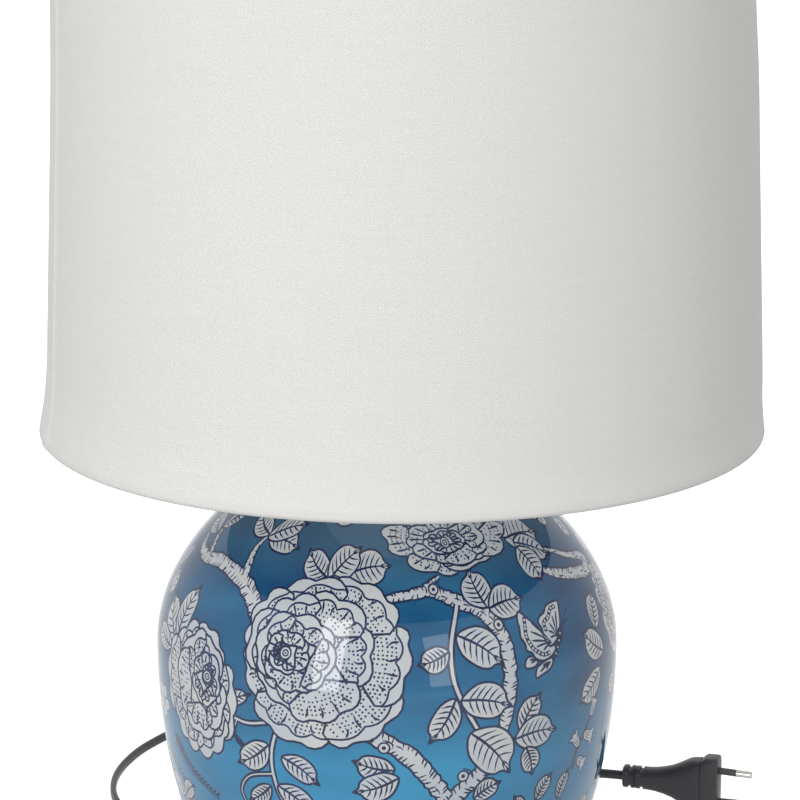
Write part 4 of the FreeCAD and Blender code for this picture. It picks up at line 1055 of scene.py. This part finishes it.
for i in range(coil_points + 1):
    turned = wound * i / coil_points
    radius = (coil_r - turn_gap * min(turned, wound - turned) / 360) / spline_draws_in
    up = radians(min(max(turned - (wound - 180) / 2, 0), 180))
    angle = radians(160 - turned)
    route.append((coil_middle[0] + radius * cos(angle), coil_middle[1] + radius * sin(angle),
                  coil_z + turn_gap * (1 - cos(up)) / 2))
route += [(0.0805, 0.1759, 0.010), (0.0934, 0.1617, 0.010)]
route += [on_the_way(plug_at, plug_heading, far, plug_at[2] / 1000) for far in (-15, 8)]
lead, lead_line = flat_lead("flat_lead", route)
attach(lead, "root")
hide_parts("cord_lead", "cord_link", "cord_coil", "cord_tail")


# ---- plug ----
# Moulded flat two-pin plug that stands on the edge of its flange: slotted relief, waist and flange in one
# piece of black PVC, round the roots of the pins. A ring is how far along it is, half its height and
# thickness, all in millimetres, and how square it is.
plug_rings = [(0.0, 5.6, 4.0, 3), (0.7, 6.5, 4.8, 3)]
for slot_from, slot_to, tall, thick in ((3.0, 5.2, 5.2, 4.8), (6.6, 8.6, 6.5, 3.6), (10.0, 12.2, 5.2, 4.8)):
    plug_rings += [(slot_from, 6.5, 4.8, 3), (slot_from + 0.2, tall, thick, 3),
                   (slot_to - 0.2, tall, thick, 3), (slot_to, 6.5, 4.8, 3)]
plug_rings += [
    (15.0, 6.5, 4.8, 3), (19.0, 6.9, 4.85, 3), (24.0, 7.9, 5.1, 3), (29.0, 9.5, 5.5, 3),
    (34.0, 12.0, 6.0, 3.2), (37.0, 13.7, 6.4, 3.4), (39.5, 14.8, 6.6, 3.8), (42.0, 15.2, 6.7, 4.4),
    (45.6, 15.3, 6.7, 5), (45.8, 14.9, 6.3, 5), (46.4, 14.9, 6.3, 5), (46.6, 16.0, 6.85, 6),
    (48.8, 17.65, 6.85, 6), (55.0, 17.65, 6.85, 6), (55.7, 17.4, 6.6, 6), (56.0, 16.9, 6.1, 6)]
bm = bmesh.new()
bmesh.ops.create_circle(bm, cap_ends=True, segments=48, radius=1.0)
loop = bm.edges[:]
for _ in plug_rings[1:]:
    fresh, loop = drawn_out(bm, loop)
    bmesh.ops.translate(bm, vec=(0, 0, 1), verts=fresh)
bmesh.ops.contextual_create(bm, geom=loop)
for vert in bm.verts:
    station, tall, thick, square = plug_rings[round(vert.co.z)]
    turn = atan2(vert.co.y, vert.co.x)
    up = tall * copysign(abs(sin(turn)) ** (2 / square), sin(turn))
    across = thick * copysign(abs(cos(turn)) ** (2 / square), cos(turn))
    vert.co = (plug_at[0] + station * cos(plug_heading) - across * sin(plug_heading),
               plug_at[1] + station * sin(plug_heading) + across * cos(plug_heading),
               plug_at[2] + up)
bmesh.ops.scale(bm, vec=(0.001, 0.001, 0.001), verts=bm.verts)
plug_pvc = soft_plastic("plug_pvc", (50, 49, 52), (66, 65, 69))
plug = mesh_object("moulded_plug", bm, [plug_pvc])
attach(plug, "root")
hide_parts("plug_body")

pin_plate = mottled("pin_nickel", 0.15, (178, 176, 172), (210, 208, 204), 400, rougher=0.2, Metallic=1.0)
dress(pin_plate, "plug_pins")
sleeve_plastic = soft_plastic("pin_sleeve_plastic", (62, 62, 65), (82, 82, 85))
dress(sleeve_plastic, "pin_sleeves")


# ---- switch ----
# Two-part moulded switch shell with a rocker, screwed together round the hidden part of the lead.
shell_plastic = soft_plastic("switch_plastic", (36, 36, 38), (50, 50, 53))
dress(shell_plastic, "switch_base", "switch_cover", "switch_rocker")


# ---- strap ----
# A woven strap goes once round the coil's turns and is pressed down on its own end on top.
strap_t = 0.001
strap_w = 0.009
strap_turn = radians(255)
strap_in = 0.0193
strap_out = 0.0441
strap_top = 0.0131
strap_lapped = strap_top + strap_t + 0.00005
rib_gap = 0.0011
pick_gap = 0.0008


def across_strap(edge):
    """Whether an edge runs from side to side of the strap."""
    return abs(edge.verts[0].co.y - edge.verts[1].co.y) > 1e-6


bm = bmesh.new()
path = [(strap_in + 0.0035, strap_top), (strap_out, strap_top), (strap_out, strap_t), (strap_in, strap_t),
        (strap_in, strap_lapped), (strap_in + 0.0155, strap_lapped)]
corners = [bm.verts.new((out, -strap_w / 2, up)) for out, up in path]
edges = [bm.edges.new(pair) for pair in zip(corners, corners[1:])]
for _ in range(4):
    fresh, edges = drawn_out(bm, edges)
    bmesh.ops.translate(bm, vec=(0, strap_w / 4, 0), verts=fresh)
    edges = [e for e in edges if not across_strap(e)]
bends = [e for e in bm.edges if across_strap(e) and len(e.link_faces) == 2]
bmesh.ops.bevel(bm, geom=bends, offset=0.0018, offset_type="OFFSET", segments=5, profile=0.5,
                affect="EDGES", material=-1)
bmesh.ops.solidify(bm, geom=bm.faces[:], thickness=strap_t)
bmesh.ops.rotate(bm, verts=bm.verts, cent=(0, 0, 0), matrix=Matrix.Rotation(strap_turn, 3, "Z"))
bmesh.ops.translate(bm, verts=bm.verts, vec=(*coil_middle, 0))
strap_finish = Finish("woven_strap", srgb(40, 40, 42), 0.9)
along, beside, upward = strap_finish.axes()
rib = (along * sin(strap_turn) - beside * cos(strap_turn)) * (2 * pi / rib_gap)
pick = (along * cos(strap_turn) + beside * sin(strap_turn) + upward) * (2 * pi / pick_gap)
weave = rib.sine() * pick.sine() * 0.4 + 0.5
strap_finish.set("Base Color", strap_finish.mix(weave, srgb(26, 26, 28), srgb(66, 66, 70)))
strap_finish.bump(weave, 0.0003, 0.6)
strap = mesh_object("woven_strap", bm, [strap_finish])
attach(strap, "root")
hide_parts("cord_tie")


# ---- inner lead ----
# The same flat lead comes in through the bush, turns up under the jar's floor and goes up the hollow rod.
# Above it the jacket is stripped and the two cores go to the holder's terminals.
inner_route = [(0, 0, 0.291), (0, 0, 0.030), (0, 0, 0.0125), (-0.0152, 0.00878, bush_z), route[0]]
inner_lead, _ = flat_lead("inner_lead", inner_route, "MINIMUM")
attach(inner_lead, "root")
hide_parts("inner_cord")

blue_core = mottled("blue_core", 0.45, (52, 76, 124), (70, 94, 142), 90, 2)
brown_core = mottled("brown_core", 0.45, (88, 60, 44), (106, 74, 54), 90, 2)
bm = bmesh.new()
for index, hand in enumerate((1, -1)):
    core_route = ((0.0014, 0.2905), (0.0014, 0.2935), (0.0017, 0.295), (0.0032, 0.295), (0.0074, 0.295))
    curve = smooth_curve("core", [(hand * out, 0, up) for out, up in core_route], "MINIMUM")
    curve.bevel_depth = 0.0009
    curve.bevel_resolution = 4
    curve.use_fill_caps = True
    core = drawn_from(curve)
    core.polygons.foreach_set("material_index", [index] * len(core.polygons))
    bm.from_mesh(core)
bmesh.ops.remove_doubles(bm, verts=bm.verts, dist=1e-6)
two_cores = mesh_object("two_cores", bm, [blue_core, brown_core])
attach(two_cores, "root")
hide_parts("inner_cores")
